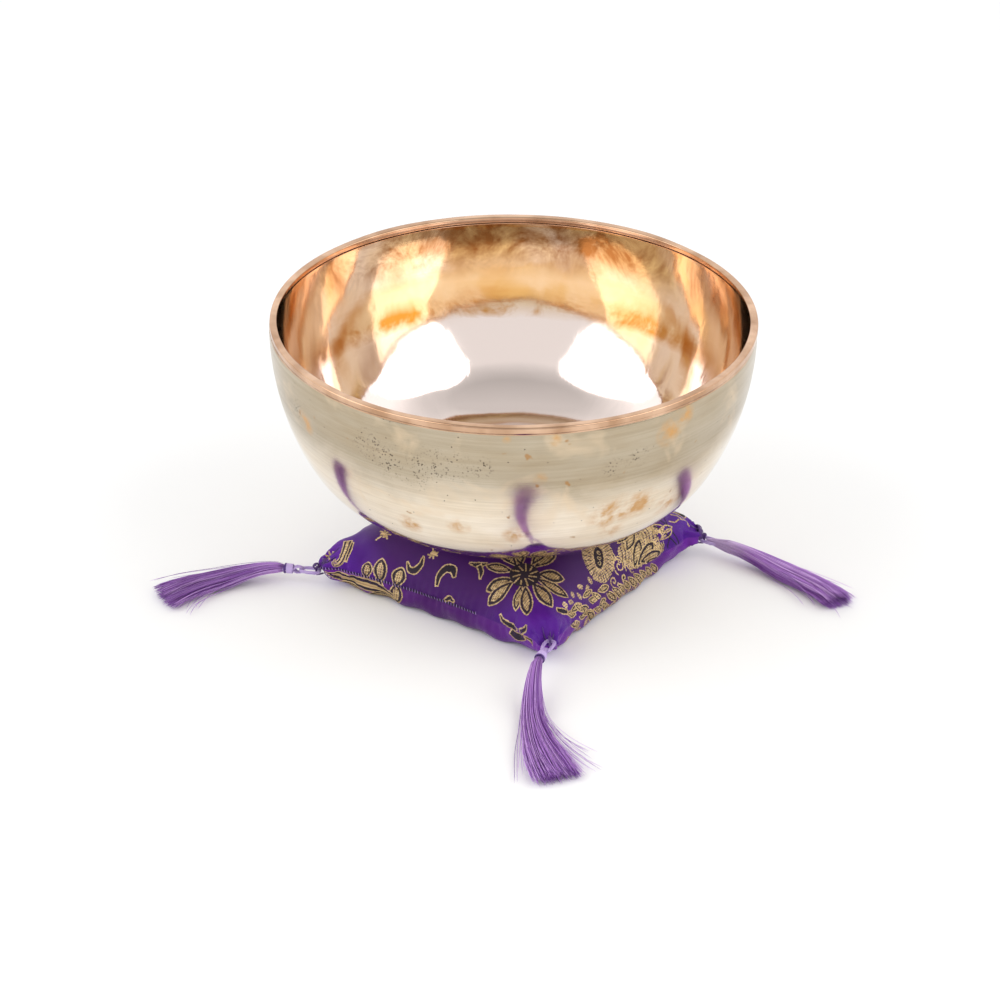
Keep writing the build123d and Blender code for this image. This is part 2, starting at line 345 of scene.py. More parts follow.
def make_bowl(form):
    lip = lip_outline(form)
    below_lip = form.rim_z - LIP_HEIGHT - 0.3 * MM
    outside, inside = form.curve(0.0, BOWL_STEP), form.curve(BOWL_WALL, BOWL_STEP)[::-1]
    outside, inside = (face[face[:, 1] < below_lip] for face in (outside, inside))
    section = np.vstack([outside, lip, inside])
    part = np.repeat([OUTSIDE, LIP, INSIDE], [len(outside), len(lip), len(inside)])
    along = np.gradient(section, axis=0)
    along /= np.linalg.norm(along, axis=1)[:, None]
    normal = np.stack([along[:, 1], -along[:, 0]], 1)
    turn = np.arange(AROUND) * 2 * math.pi / AROUND
    cos, sin = np.cos(turn), np.sin(turn)
    ring = np.stack([cos, sin], 1)
    rows = len(section)
    points = np.empty((rows, AROUND, 3))
    points[..., :2] = section[:, None, :1] * ring
    points[..., 2] = section[:, None, 1]
    domed = 1 - np.clip(section[:, 0] / form.base_radius, 0, 1) ** 2
    points[part == INSIDE, :, 2] += FLOOR_DOME * domed[part == INSIDE, None]
    outward = np.empty_like(points)
    outward[..., :2] = normal[:, None, :1] * ring
    outward[..., 2] = normal[:, None, 1]

    # Hammering: broad waves shared by both faces, and marks of their own on each face
    height = (section[:, 1] - form.base_z) / (form.rim_z - form.base_z)
    random = np.random.default_rng(SEED)
    waves = np.zeros((rows, AROUND))
    for lobes in WAVE_LOBES:
        phase, lean = random.uniform(0, 2 * math.pi), random.uniform(-3, 3)
        swing = np.cos(lobes * turn[None, :] + phase + lean * height[:, None])
        waves += swing * WAVE_DEPTH * MM / math.sqrt(lobes)
    waves *= (np.clip(section[:, 0] / (60 * MM), 0, 1) ** 2)[:, None]
    moved = np.zeros((rows, AROUND))
    for face, spacing, depth in HAMMERING:
        chosen = part == face
        marks = hammer_marks(points[chosen].reshape(-1, 3), spacing, SEED + face)
        fade = np.clip((form.rim_z - section[chosen, 1]) / (9 * MM), 0, 1)
        moved[chosen] = marks.reshape(-1, AROUND) * depth * fade[:, None]
    inward = np.where(part == OUTSIDE, -1, 1)[:, None]
    points += outward * (moved + waves * -inward)[..., None]

    count = rows * AROUND
    points = np.vstack([
        points.reshape(-1, 3),
        [(0, 0, section[0, 1]), (0, 0, section[-1, 1] + FLOOR_DOME)],
    ])
    faces = ring_faces(rows, AROUND).tolist()
    for index in range(AROUND):
        after = (index + 1) % AROUND
        faces.append((count, after, index))
        faces.append((count + 1, count - AROUND + index, count - AROUND + after))
    bowl = new_mesh("hammered_bowl", points, faces)
    face_part = np.repeat(np.minimum(part[:-1], part[1:]), AROUND)
    edge_rows = np.where(part[:-1] != part[1:])[0]
    for row in edge_rows:
        face_part[row * AROUND:(row + 1) * AROUND] = LIP
    face_part = np.concatenate([face_part, np.tile([OUTSIDE, INSIDE], AROUND)])
    for paint in (paint_outside(form), paint_lip(), paint_inside()):
        bowl.data.materials.append(paint)
    bowl.data.polygons.foreach_set("material_index", face_part.astype(np.int32))
    bowl.data.update()
    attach(bowl, "bowl")
    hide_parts("bowl")


def around_the_axis(paint, around, upward):
    """Texture place that is stretched round the bowl: fine upward, long around."""
    split = paint.add("ShaderNodeSeparateXYZ", {0: paint.place()})
    flat = paint.add("ShaderNodeCombineXYZ", {0: split.outputs[0], 1: split.outputs[1]})
    ring = paint.vector("NORMALIZE", flat.outputs[0])
    ring = paint.vector("MULTIPLY", ring, (around, around, 0))
    lift = paint.add("ShaderNodeCombineXYZ", {2: paint.times(split.outputs[2], upward)})
    return paint.vector("ADD", ring, lift.outputs[0]), split


# Marks on the outside: direction seen from above in degrees, height and radius in mm
PIT_CLUSTERS = (
    (-125.0, 122.0, 12.0), (-120.0, 117.0, 13.0), (-109.5, 119.0, 12.0), (-103.0, 120.0, 10.0),
    (-97.0, 121.0, 7.0), (-60.0, 119.0, 7.0), (-66.0, 115.0, 8.0), (-152.0, 121.0, 8.0),
    (-114.0, 110.0, 10.0), (40.0, 112.0, 14.0), (130.0, 110.0, 16.0), (165.0, 118.0, 12.0),
)
STAINS = (
    (-64.0, 86.0, 15.0), (-57.0, 88.0, 12.0), (-45.0, 81.0, 11.0), (-118.0, 77.0, 8.0),
    (-104.0, 82.0, 7.0), (-91.5, 137.0, 2.6), (-80.8, 136.0, 4.0), (-84.0, 115.0, 4.5),
    (-48.0, 134.0, 8.0), (-52.0, 128.0, 9.0), (-148.0, 116.0, 8.0), (-89.0, 78.0, 8.0),
    (-63.0, 71.0, 9.0), (15.0, 94.0, 14.0), (75.0, 86.0, 15.0), (150.0, 90.0, 12.0),
)


def near_marks(paint, form, place, marks):
    """1 near any of the marks, fading to 0 at their radii, with a ragged edge."""
    ragged = paint.noise(place, 160.0, 4.0, 0.6)
    total = None
    for angle, height, radius in marks:
        turn = math.radians(angle)
        away = form.radius_at(height * MM)
        spot = (away * math.cos(turn), away * math.sin(turn), height * MM)
        share = paint.math("DIVIDE", paint.vector("DISTANCE", place, spot, "Value"), radius * MM)
        share = paint.math("SUBTRACT", 1.0, share, clamp=True)
        total = share if total is None else paint.math("MAXIMUM", total, share)
    return paint.times(total, paint.ramp(ragged, (0.38, 0.2), (0.60, 1.6)), clamp=True)


def paint_outside(form):
    paint = Paint("bronze_brushed")
    lines, split = around_the_axis(paint, 1.6, 900.0)
    place = paint.place()
    brushed = paint.noise(lines, 1.0, 5.0, 0.65)
    broad, _ = around_the_axis(paint, 2.2, 60.0)
    bands = paint.noise(broad, 1.0, 3.0, 0.6)
    clouds = paint.noise(place, 22.0, 5.0, 0.6, 0.4)
    # Painted reflection: below a wandering height the outside is painted pale, standing in for the bright
    # floor it reflects; above it lies the duller worn tone.
    edge = paint.math("ADD", split.outputs[2], paint.times(clouds, 26 * MM))
    band_share = paint.ramp(edge, (0.104, 0.0), (0.124, 1.0))
    tone = paint.mix(band_share, POLISH_AND_PAINTED_REFLECTION, DULL)
    shade = paint.ramp(bands, (0.35, 0.0), (0.75, 0.8))
    tone = paint.mix(shade, tone, (0.80, 0.72, 0.60), blend="MULTIPLY")
    streak = paint.ramp(brushed, (0.35, 0.0), (0.75, 0.7))
    tone = paint.mix(streak, tone, (0.78, 0.76, 0.72), blend="MULTIPLY")
    warm = paint.ramp(paint.noise(place, 34.0, 3.0, 0.6, 0.6), (0.56, 0.0), (0.72, 0.55))
    tone = paint.mix(warm, tone, WARM)
    stain = near_marks(paint, form, place, STAINS)
    mottle = paint.ramp(paint.noise(place, 60.0, 4.0, 0.6, 0.8), (0.36, 0.15), (0.58, 1.0))
    stain = paint.times(stain, mottle)
    tone = paint.mix(stain, tone, STAIN)
    speck = paint.ramp(paint.noise(place, 130.0, 2.0, 0.5), (0.72, 0.0), (0.77, 0.8))
    tone = paint.mix(speck, tone, SPECK)
    pits = paint.add("ShaderNodeTexVoronoi", {"Vector": place, "Scale": 760.0}).outputs["Distance"]
    far_pits = paint.add("ShaderNodeTexVoronoi", {"Vector": place, "Scale": 210.0})
    lone = paint.ramp(far_pits.outputs["Distance"], (0.055, 1.0), (0.08, 0.0))
    lone = paint.times(lone, paint.ramp(paint.noise(place, 70.0), (0.50, 0.0), (0.54, 1.0)))
    here = near_marks(paint, form, place, PIT_CLUSTERS)
    sparse = paint.ramp(paint.noise(place, 240.0, 2.0), (0.40, 0.0), (0.47, 1.0))
    pit = paint.times(paint.ramp(pits, (0.26, 1.0), (0.38, 0.0)), here)
    pit = paint.times(pit, sparse)
    pit = paint.math("MAXIMUM", pit, lone)
    tone = paint.mix(paint.times(pit, 0.9, clamp=True), tone, PIT)
    paint.set(Base_Color=tone, Metallic=1.0, Anisotropic=0.35)
    matt = paint.ramp(brushed, (0.3, 0.07), (0.7, 0.15))
    paint.set(Roughness=paint.math("ADD", matt, paint.times(band_share, 0.10)))
    fine = paint.bump(brushed, 0.30, 0.00007)
    rough = paint.bump(paint.times(pit, -1.0), 0.8, 0.0002, fine)
    paint.set(Normal=rough)
    return paint.material


def paint_lip():
    paint = Paint("bronze_lip")
    lines, _ = around_the_axis(paint, 3.0, 1500.0)
    place = paint.place()
    brushed = paint.noise(lines, 1.0, 4.0, 0.6)
    clouds = paint.noise(place, 60.0, 3.0)
    tone = paint.mix(paint.ramp(clouds, (0.35, 0.0), (0.65, 1.0)), *LIP_TONES)
    paint.set(Base_Color=tone, Metallic=1.0)
    paint.set(Roughness=paint.ramp(clouds, (0.3, 0.07), (0.7, 0.18)))
    paint.set(Normal=paint.bump(brushed, 0.35, 0.00006))
    return paint.material


def paint_inside():
    paint = Paint("bronze_polished")
    place = paint.place()
    lines, split = around_the_axis(paint, 2.0, 700.0)
    brushed = paint.noise(lines, 1.0, 4.0, 0.6)
    clouds = paint.noise(place, 16.0, 5.0, 0.62, 0.8)
    wall = paint.mix(paint.ramp(clouds, (0.35, 0.0), (0.7, 1.0)), *WALL_TONES)
    wave = paint.math("ADD", split.outputs[2], paint.times(clouds, -14 * MM))
    tone = paint.mix(paint.ramp(wave, (0.083, 0.0), (0.090, 1.0)), ROSE, wall)
    patch = paint.ramp(paint.noise(place, 34.0, 5.0, 0.65, 0.5), (0.38, 0.0), (0.60, 1.0))
    high = paint.ramp(split.outputs[2], (0.110, 0.0), (0.124, 1.0), (0.140, 1.0), (0.149, 0.4))
    back = paint.ramp(split.outputs[1], (0.02, 0.10), (0.085, 1.0))
    gold = paint.ramp(paint.noise(place, 12.0, 3.0, 0.5, 0.5), (0.47, 0.0), (0.58, 0.75))
    tone = paint.mix(paint.times(gold, high), tone, GILT)
    aged = paint.times(paint.times(patch, high), back)
    tone = paint.mix(aged, tone, BURNT)
    ring = paint.ramp(wave, (0.082, 0.0), (0.086, 1.0), (0.090, 1.0), (0.096, 0.0))
    ring = paint.times(ring, paint.ramp(patch, (0.1, 0.15), (0.8, 1.0)))
    ring = paint.times(ring, back)
    tone = paint.mix(ring, tone, RUSTY)
    paint.set(Base_Color=tone, Metallic=1.0)
    paint.set(Roughness=paint.ramp(clouds, (0.3, 0.05), (0.75, 0.12)))
    ripple, _ = around_the_axis(paint, 13.0, 75.0)
    dents = paint.noise(ripple, 1.0, 2.0, 0.45, 0.5)
    fine = paint.bump(brushed, 0.12, 0.00004)
    paint.set(Normal=paint.bump(dents, 0.05, 0.0012, fine))
    return paint.material


# ---------------------------------------------------------------- cushion cloth

SHEET = 150.0 * MM
COARSE, FINE = 39, 77
CLOTH_TURN = math.radians(-34.4)
SEAM_HEIGHT = 12.0 * MM
BOWL_GAP = 0.35 * MM
# The solver's steps and passes: the coarse sheets' first, then the finer ones'
SETTLING = ((220, 4), (90, 6))
# Speed kept from step to step, how far cloth sinks each step, how firmly the seam's height is
# held, and the sideways speed kept on the table and against the bowl
SPEED_KEPT, SINK, SEAM_HOLD = 0.93, 0.02 * MM, 0.06
TABLE_SLIP, BOWL_SLIP = 0.3, 0.5
# The small folds at the corners, gathers along the seam and soft lumps; each lump's direction,
# wavelength in mm and phase
FOLDS = 15
FOLD_DEPTH = 1.15 * MM
GATHER_SPACING = 4.4 * MM
GATHER_DEPTH = 0.45 * MM
LUMPS = ((1.0, 0.3, 27.0, 0.2), (-0.5, 1.0, 22.0, 1.7), (0.8, 1.0, 17.0, 3.1), (1.0, -0.9, 19.0, 4.4))
LUMP_DEPTH = 0.32 * MM
FLOOR_GAP = 0.45 * MM
SEAM_GATHER = 0.95
SEAM_EASE = 0.975
WHIP_DEPTH = 6.0 * MM
WHIP_RADII = {"left": 2.5 * MM, "front": 2.4 * MM, "right": 3.4 * MM, "back": 2.6 * MM}
CORNER_SIGNS = {"left": (0, 0), "front": (1, 0), "right": (1, 1), "back": (0, 1)}
CUSHION_VOLUME = 0.000560
# How far off the lower sheet's texture coordinates lie, which tells it from the upper one
UNDER_OFFSET = 0.3
# Steps along the two threads from a point to the one it is tied to, and how firmly it is tied
LINKS = (((1, 0), 1.0), ((0, 1), 1.0), ((1, 1), 0.45), ((1, -1), 0.45), ((2, 0), 0.22), ((0, 2), 0.22))


def corner_tips():
    """Where each corner of the cushion ends: just inside its upright thread."""
    tips = {}
    for name in CORNERS:
        low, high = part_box("corner_stitch_" + name)
        middle = (low + high) / 2
        flat = Vector((middle.x, middle.y, 0))
        loop_low, loop_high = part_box("hanging_loop_" + name)
        tips[name] = flat.normalized() * (flat.length - 1.6 * MM)
        tips[name].z = min((loop_low.z + loop_high.z) / 2, 15 * MM)
    return tips


def sewn_sheets(count):
    """Point numbers of two square sheets that share their edge, and where that edge is."""
    over = np.arange(count * count).reshape(count, count)
    edge = np.ones((count, count), bool)
    edge[1:-1, 1:-1] = False
    under = over.copy()
    under[~edge] = count * count + np.arange((count - 2) ** 2)
    return over, under, edge


def cloth_places(count):
    """The flat sheet's own two coordinates at each of its points, from its middle."""
    span = np.linspace(-0.5, 0.5, count) * SHEET
    return np.meshgrid(span, span, indexing="ij")


class Cloth:
    """Two square sheets sewn together round their edge, moved by position-based dynamics."""

    def __init__(self, count):
        self.count = count
        over, under, edge = sewn_sheets(count)
        self.sheets = (over, under)
        self.edge = over[edge]
        self.total = under.max() + 1
        self.groups = []
        for sheet in self.sheets:
            for step, stiffness in LINKS:
                self.link(sheet, step, stiffness)
        self.triangles = np.vstack([self.split(over), self.split(under)[:, ::-1]])

    @staticmethod
    def split(sheet):
        a, b, c, d = sheet[:-1, :-1], sheet[1:, :-1], sheet[1:, 1:], sheet[:-1, 1:]
        first = np.stack([a, b, c], -1).reshape(-1, 3)
        second = np.stack([a, c, d], -1).reshape(-1, 3)
        return np.vstack([first, second])

    def link(self, sheet, step, stiffness):
        """Pairs of points one step apart, in two sets that share no point within a set."""
        count = self.count
        di, dj = step
        i, j = np.meshgrid(np.arange(count), np.arange(count), indexing="ij")
        ok = (i + di < count) & (j + dj < count) & (j + dj >= 0)
        i, j = i[ok], j[ok]
        length = np.full(len(i), math.hypot(di, dj) * SHEET / (count - 1))
        if step == (1, 0):
            length[j == 0] *= SEAM_GATHER
            length[j == count - 1] *= SEAM_EASE
        if step == (0, 1):
            length[(i == 0) | (i == count - 1)] *= SEAM_EASE
        counter = i // di if di else j // dj
        for parity in (0, 1):
            chosen = counter % 2 == parity
            first = sheet[i[chosen], j[chosen]]
            second = sheet[i[chosen] + di, j[chosen] + dj]
            self.groups.append((first, second, length[chosen], stiffness))

    def whip(self, places, tips):
        """Holds the cloth near each corner inside the thread that is wound round it."""
        for sheet in self.sheets:
            span = np.arange(self.count) * SHEET / (self.count - 1)
            for name, (i, j) in CORNER_SIGNS.items():
                away_a = span if i == 0 else span[::-1]
                away_b = span if j == 0 else span[::-1]
                depth = np.maximum(away_a[:, None], away_b[None, :])
                near = sheet[depth < WHIP_DEPTH]
                depth = depth[depth < WHIP_DEPTH]
                tip = np.array(tips[name])
                outward = unit(tip * [1, 1, 0])
                offset = places[near] - tip
                ahead = (offset @ outward)[:, None] * outward
                aside = offset - ahead
                size = np.linalg.norm(aside, axis=1)
                limit = WHIP_RADII[name] + np.maximum(depth - WHIP_DEPTH * 0.40, 0) * 0.9
                over = size > limit
                aside[over] *= (limit[over] / size[over])[:, None]
                places[near] = tip + ahead + aside

    def normals(self, places):
        """Each point's share of the surrounding area, along the outward normal."""
        a, b, c = (places[self.triangles[:, k]] for k in range(3))
        face = np.cross(b - a, c - a)
        total = np.zeros_like(places)
        for k in range(3):
            for axis in range(3):
                total[:, axis] += np.bincount(
                    self.triangles[:, k], weights=face[:, axis], minlength=self.total
                )
        volume = np.einsum("ij,ij->", a, face) / 6
        return total / 6, volume

    def settle(self, places, form, tips, steps, passes):
        """Inflates the cloth under the bowl, with each corner pinned at its tip."""
        last = self.count - 1
        pinned = np.array([self.sheets[0][i * last, j * last] for i, j in CORNER_SIGNS.values()])
        held = np.array([tips[name] for name in CORNER_SIGNS])
        speed = np.zeros_like(places)
        for step in range(steps):
            before = places.copy()
            places = places + speed * SPEED_KEPT
            places[:, 2] -= SINK
            share = min(1.0, (step + 1) / (0.5 * steps))
            for _ in range(passes):
                area, now = self.normals(places)
                wanted = CUSHION_VOLUME * (0.35 + 0.65 * share)
                push = np.clip((wanted - now) / np.einsum("ij,ij->", area, area), 0, None)
                places += area * push * 0.5
                for first, second, length, stiffness in self.groups:
                    apart = places[second] - places[first]
                    size = np.sqrt(np.einsum("ij,ij->i", apart, apart))
                    pull = apart * (0.5 * stiffness * (1 - length / size))[:, None]
                    places[first] += pull
                    places[second] -= pull
                places[self.edge, 2] += (SEAM_HEIGHT - places[self.edge, 2]) * SEAM_HOLD
                self.whip(places, tips)
                radius = np.hypot(places[:, 0], places[:, 1])
                ceiling = form.underside(radius) - BOWL_GAP
                places[:, 2] = np.clip(places[:, 2], 0.15 * MM, ceiling)
                places[pinned] = held
            speed = places - before
            grounded = places[:, 2] < 0.3 * MM
            speed[grounded, :2] *= TABLE_SLIP
            touching = places[:, 2] > ceiling - 0.1 * MM
            speed[touching, :2] *= BOWL_SLIP
        return places


def finer(grid):
    """A grid of points with a new point between each two, on a smooth curve through them."""
    for axis in (0, 1):
        grid = np.moveaxis(grid, axis, 0)
        middle = (grid[:-1] + grid[1:]) / 2
        middle[1:-1] = (9 * (grid[1:-2] + grid[2:-1]) - grid[:-3] - grid[3:]) / 16
        result = np.empty((2 * len(grid) - 1, *grid.shape[1:]))
        result[::2] = grid
        result[1::2] = middle
        grid = np.moveaxis(result, 0, axis)
    return grid


def simulate_cushion(form):
    """The two sheets of the cushion as grids of points, top and bottom."""
    tips = corner_tips()
    cloth = Cloth(COARSE)
    a, b = cloth_places(COARSE)
    cos, sin = math.cos(CLOTH_TURN), math.sin(CLOTH_TURN)
    random = np.random.default_rng(SEED)
    half = a[-1, -1]
    dome = (1 - (a / half) ** 2) * (1 - (b / half) ** 2)
    places = np.zeros((cloth.total, 3))
    for sheet, side in zip(cloth.sheets, (1, -1)):
        flat = np.stack([
            (a * cos - b * sin) * 0.93,
            (a * sin + b * cos) * 0.93,
            SEAM_HEIGHT + side * dome * 9 * MM + random.normal(0, 0.3 * MM, a.shape),
        ], -1)
        places[sheet.ravel()] = flat.reshape(-1, 3)
    (steps, passes), finer_settling = SETTLING
    places = cloth.settle(places, form, tips, steps, passes)
    grids = [finer(places[sheet]) for sheet in cloth.sheets]
    cloth = Cloth(FINE)
    places = np.zeros((cloth.total, 3))
    for sheet, grid in zip(cloth.sheets[::-1], grids[::-1]):
        places[sheet.ravel()] = grid.reshape(-1, 3)
    places = cloth.settle(places, form, tips, *finer_settling)
    return pucker([finer(places[sheet]) for sheet in cloth.sheets])


def outward_of(grid):
    return unit(np.cross(np.gradient(grid, axis=0), np.gradient(grid, axis=1)))


def pucker(grids):
    """The small folds that run in from each whipped corner and along the gathered seam."""
    a, b = cloth_places(len(grids[0]))
    half = SHEET / 2
    inset = np.minimum(half - np.abs(a), half - np.abs(b))
    lifts = []
    for phase in (0.0, 1.3):
        lift = np.zeros_like(a)
        for sign_a, sign_b in ((-1, -1), (1, -1), (1, 1), (-1, 1)):
            away_a, away_b = half - sign_a * a, half - sign_b * b
            away = np.hypot(away_a, away_b)
            turn = np.arctan2(away_b, away_a)
            wander = 0.5 * np.sin(away / (7 * MM) + sign_a + 2 * sign_b)
            folds = np.sin(turn * FOLDS + wander * 2 + phase + sign_a) ** 3
            fade = np.exp(-((away - 8 * MM) / (9 * MM)) ** 2)
            lift += folds * fade * FOLD_DEPTH
        gathers = np.cos(2 * math.pi * a / GATHER_SPACING + np.sin(a / (11 * MM)))
        nearby = np.exp(-inset / (3.5 * MM)) * np.where(inset == half + b, 1.0, 0.35)
        lift += gathers * nearby * GATHER_DEPTH
        lumps = sum(
            np.cos(2 * math.pi * (lean_a * a + lean_b * b) / (wavelength * MM) + start + 2 * phase)
            for lean_a, lean_b, wavelength, start in LUMPS
        )
        free = 1.0 if phase else np.clip((np.hypot(a, b) - 66 * MM) / (12 * MM), 0, 1)
        lift += lumps * LUMP_DEPTH * free
        lifts.append(lift * np.clip(inset / (1.6 * MM), 0, 1))
    for grid, lift, side in zip(grids, lifts, (1, -1)):
        grid += outward_of(grid) * (side * lift)[..., None]
        grid[..., 2] = np.maximum(grid[..., 2], FLOOR_GAP)
    return grids


def make_cushion(grids):
    over, under, _ = sewn_sheets(len(grids[0]))
    points = np.vstack([grids[0].reshape(-1, 3), grids[1][1:-1, 1:-1].reshape(-1, 3)])
    a, b = cloth_places(len(grids[0]))
    before, after = slice(None, -1), slice(1, None)
    corners = ((before, before), (after, before), (after, after), (before, after))
    quads, cells = [], []
    for sheet, corner, offset in ((over, corners, 0.0), (under, corners[::-1], UNDER_OFFSET)):
        quads.append(np.stack([sheet[c] for c in corner], -1).reshape(-1, 4))
        cloth = np.stack([np.stack([a[c] + offset, b[c]], -1) for c in corner], -2)
        cells.append(cloth.reshape(-1, 2))
    quads = np.vstack(quads)
    cover = new_mesh("cushion_cover", points, quads)
    layer = cover.data.uv_layers.new(name="cloth")
    layer.data.foreach_set("uv", np.vstack(cells).ravel())
    cover.data.materials.append(paint_satin())
    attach(cover, "cushion")
    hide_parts("cover_top", "cover_bottom")
    return cover, points, quads


def make_filling(cover, points, quads):
    """The stuffing: the cover's shape set in by the cloth's thickness."""
    normal = np.empty(len(points) * 3)
    cover.data.vertices.foreach_get("normal", normal)
    normal = normal.reshape(-1, 3)
    centre = np.array([0.0, 0.0, 0.022])
    inner = points - normal * 1.0 * MM
    away = np.hypot(inner[:, 0], inner[:, 1])[:, None]
    shrink = 0.955 - 0.07 * np.clip((away - 82 * MM) / (18 * MM), 0, 1)
    inner = centre + (inner - centre) * shrink
    filling = new_mesh("cushion_filling", inner, quads)
    paint = Paint("cotton_wadding")
    fibres = paint.noise(paint.place(), 260.0, 6.0, 0.7, 1.0)
    paint.set(Base_Color=paint.mix(fibres, (0.86, 0.84, 0.78), (0.95, 0.94, 0.90)), Roughness=0.95)
    paint.set(Normal=paint.bump(fibres, 0.6, 0.0008))
    filling.data.materials.append(paint.material)
    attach(filling, "cushion")
    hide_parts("filling")


VIOLETS = (0.040, 0.003, 0.165), (0.082, 0.008, 0.31)
SATIN_THREAD = 0.30 * MM


def paint_satin():
    paint = Paint("violet_satin")
    cloth = paint.add("ShaderNodeUVMap", uv_map="cloth").outputs["UV"]
    split = paint.add("ShaderNodeSeparateXYZ", {0: cloth})
    threads = 2 * math.pi / SATIN_THREAD
    weft = paint.math("SINE", paint.times(split.outputs[1], threads))
    warp = paint.math("SINE", paint.times(split.outputs[0], threads * 2.2))
    weave = paint.math("ADD", paint.times(weft, 0.7), paint.times(warp, 0.3))
    slub = paint.noise(paint.vector("MULTIPLY", cloth, (300.0, 2600.0, 1.0)), 1.0, 3.0, 0.6)
    broad = paint.noise(cloth, 40.0, 3.0, 0.6)
    tone = paint.mix(slub, *VIOLETS)
    tone = paint.mix(paint.ramp(broad, (0.4, 0.0), (0.7, 0.35)), tone, (0.125, 0.008, 0.28))
    # Painted light: the lower sheet is painted paler, standing in for light bounced up from the white
    # floor.
    under = paint.ramp(split.outputs[0], (0.16, 0.0), (0.22, 1.0))
    tone = paint.mix(paint.times(under, 0.45), tone, (0.22, 0.035, 0.38))
    # Painted shadow: the cloth is darkened within about 66 to 88 mm of the axis, where the bowl shades it.
    flat = paint.vector("MULTIPLY", paint.place(), (1, 1, 0))
    centre_distance = paint.vector("LENGTH", flat, output="Value")
    shaded = paint.ramp(centre_distance, (0.066, 0.75), (0.088, 0.0))
    tone = paint.mix(shaded, tone, (0.022, 0.0008, 0.034))
    paint.set(Base_Color=tone, Roughness=0.40, Sheen_Weight=0.12, Sheen_Roughness=0.4)
    paint.set(Sheen_Tint=(0.80, 0.35, 1.0, 1), Anisotropic=0.5)
    paint.set(Specular_Tint=(0.85, 0.45, 1.0, 1))
    paint.set(Specular_IOR_Level=0.40)
    paint.set(Normal=paint.bump(weave, 0.35, 0.00008))
    return paint.material


# ---------------------------------------------------------------- threads


def tubes(paths, radius, sides=3, across=(0.2, 0.1, 1.0), closed=False):
    """Points and quads of round threads along paths of shape (threads, points, 3)."""
    paths = np.asarray(paths, float)
    threads, count, _ = paths.shape
    if closed:
        along = np.roll(paths, -1, 1) - np.roll(paths, 1, 1)
    else:
        along = np.gradient(paths, axis=1)
    along = unit(along)
    side = unit(np.cross(along, np.broadcast_to(np.asarray(across, float), along.shape)))
    other = np.cross(along, side)
    radius = np.broadcast_to(np.asarray(radius, float), (threads, count)).copy()
    if not closed:
        radius[:, [0, -1]] *= 0.15
    turn = np.arange(sides) * 2 * math.pi / sides
    ring = (
        side[:, :, None] * np.cos(turn)[None, None, :, None]
        + other[:, :, None] * np.sin(turn)[None, None, :, None]
    )
    points = paths[:, :, None] + ring * radius[:, :, None, None]
    base = np.arange(threads)[:, None, None, None] * count * sides
    row = np.arange(count if closed else count - 1)[:, None]
    after = (row + 1) % count
    spoke = np.arange(sides)
    beyond = (spoke + 1) % sides
    quads = np.stack([
        row * sides + spoke, row * sides + beyond, after * sides + beyond, after * sides + spoke
    ], -1)
    quads = (quads[None] + base).reshape(-1, 4)
    return points.reshape(-1, 3), quads


def fast_mesh(name, points, quads):
    """A smooth-shaded mesh of quads, filled in one go."""
    mesh = bpy.data.meshes.new(name)
    mesh.vertices.add(len(points))
    mesh.vertices.foreach_set("co", np.asarray(points, np.float32).ravel())
    mesh.loops.add(len(quads) * 4)
    mesh.loops.foreach_set("vertex_index", np.asarray(quads, np.int32).ravel())
    mesh.polygons.add(len(quads))
    mesh.polygons.foreach_set("loop_start", np.arange(len(quads), dtype=np.int32) * 4)
    mesh.polygons.foreach_set("use_smooth", [True] * len(quads))
    mesh.update(calc_edges=True)
    return link_piece(name, mesh)


def join_parts(parts):
    """One set of points and quads out of several."""
    points, quads, start = [], [], 0
    for part_points, part_quads in parts:
        points.append(part_points)
        quads.append(part_quads + start)
        start += len(part_points)
    return np.vstack(points), np.vstack(quads)


def thread_paint(name, pale, deep, roughness=0.38, sheen=0.3, pale_from=None):
    paint = Paint(name)
    lot = paint.add("ShaderNodeNewGeometry").outputs["Random Per Island"]
    grain = paint.noise(paint.place(), 1500.0, 2.0)
    share = paint.math("ADD", paint.times(lot, 0.75), paint.times(grain, 0.35))
    tone = paint.mix(share, deep, pale)
    if pale_from:
        distance = paint.vector("DISTANCE", paint.place(), pale_from, "Value")
        band_share = paint.ramp(distance, (7 * MM, 0.95), (22 * MM, 0.0))
        tone = paint.mix(band_share, tone, (0.68, 0.52, 0.80))
    paint.set(Base_Color=tone, Roughness=roughness, Sheen_Weight=sheen)
    paint.set(Sheen_Tint=(*pale, 1))
    paint.set(Normal=paint.bump(grain, 0.2, 0.0001))
    return paint.material


class Drape:
    """Places on the cushion's cloth, from cloth coordinates in millimetres off its middle."""

    def __init__(self, grids):
        self.grids = grids
        self.count = len(grids[0])
        self.normals = [outward_of(grids[0]), -outward_of(grids[1])]
        edge = sewn_sheets(self.count)[2]
        shared = unit(self.normals[0][edge] + self.normals[1][edge])
        for normal in self.normals:
            normal[edge] = shared

    def at(self, sheet, a, b, lift=0.0):
        """Points over the cloth; a and b in millimetres, lift in metres."""
        scale = (self.count - 1) / (SHEET / MM)
        u, v = (np.clip((np.asarray(c, float) + SHEET / MM / 2) * scale, 0, self.count - 1.0001)
                for c in (a, b))
        i, j = u.astype(int), v.astype(int)
        du, dv = (u - i)[..., None], (v - j)[..., None]

        def mixed(grid):
            near = grid[i, j] * (1 - du) + grid[i + 1, j] * du
            far = grid[i, j + 1] * (1 - du) + grid[i + 1, j + 1] * du
            return near * (1 - dv) + far * dv

        normal = unit(mixed(self.normals[sheet]))
        return mixed(self.grids[sheet]) + normal * np.asarray(lift, float)[..., None]


# ---------------------------------------------------------------- brocade motifs

GOLD, DARK = 1, 2
PICK = 0.42
SAMPLE = 0.30
HALF = 75.0
ROWS = int(2 * HALF / PICK)
COLUMNS = int(2 * HALF / SAMPLE)


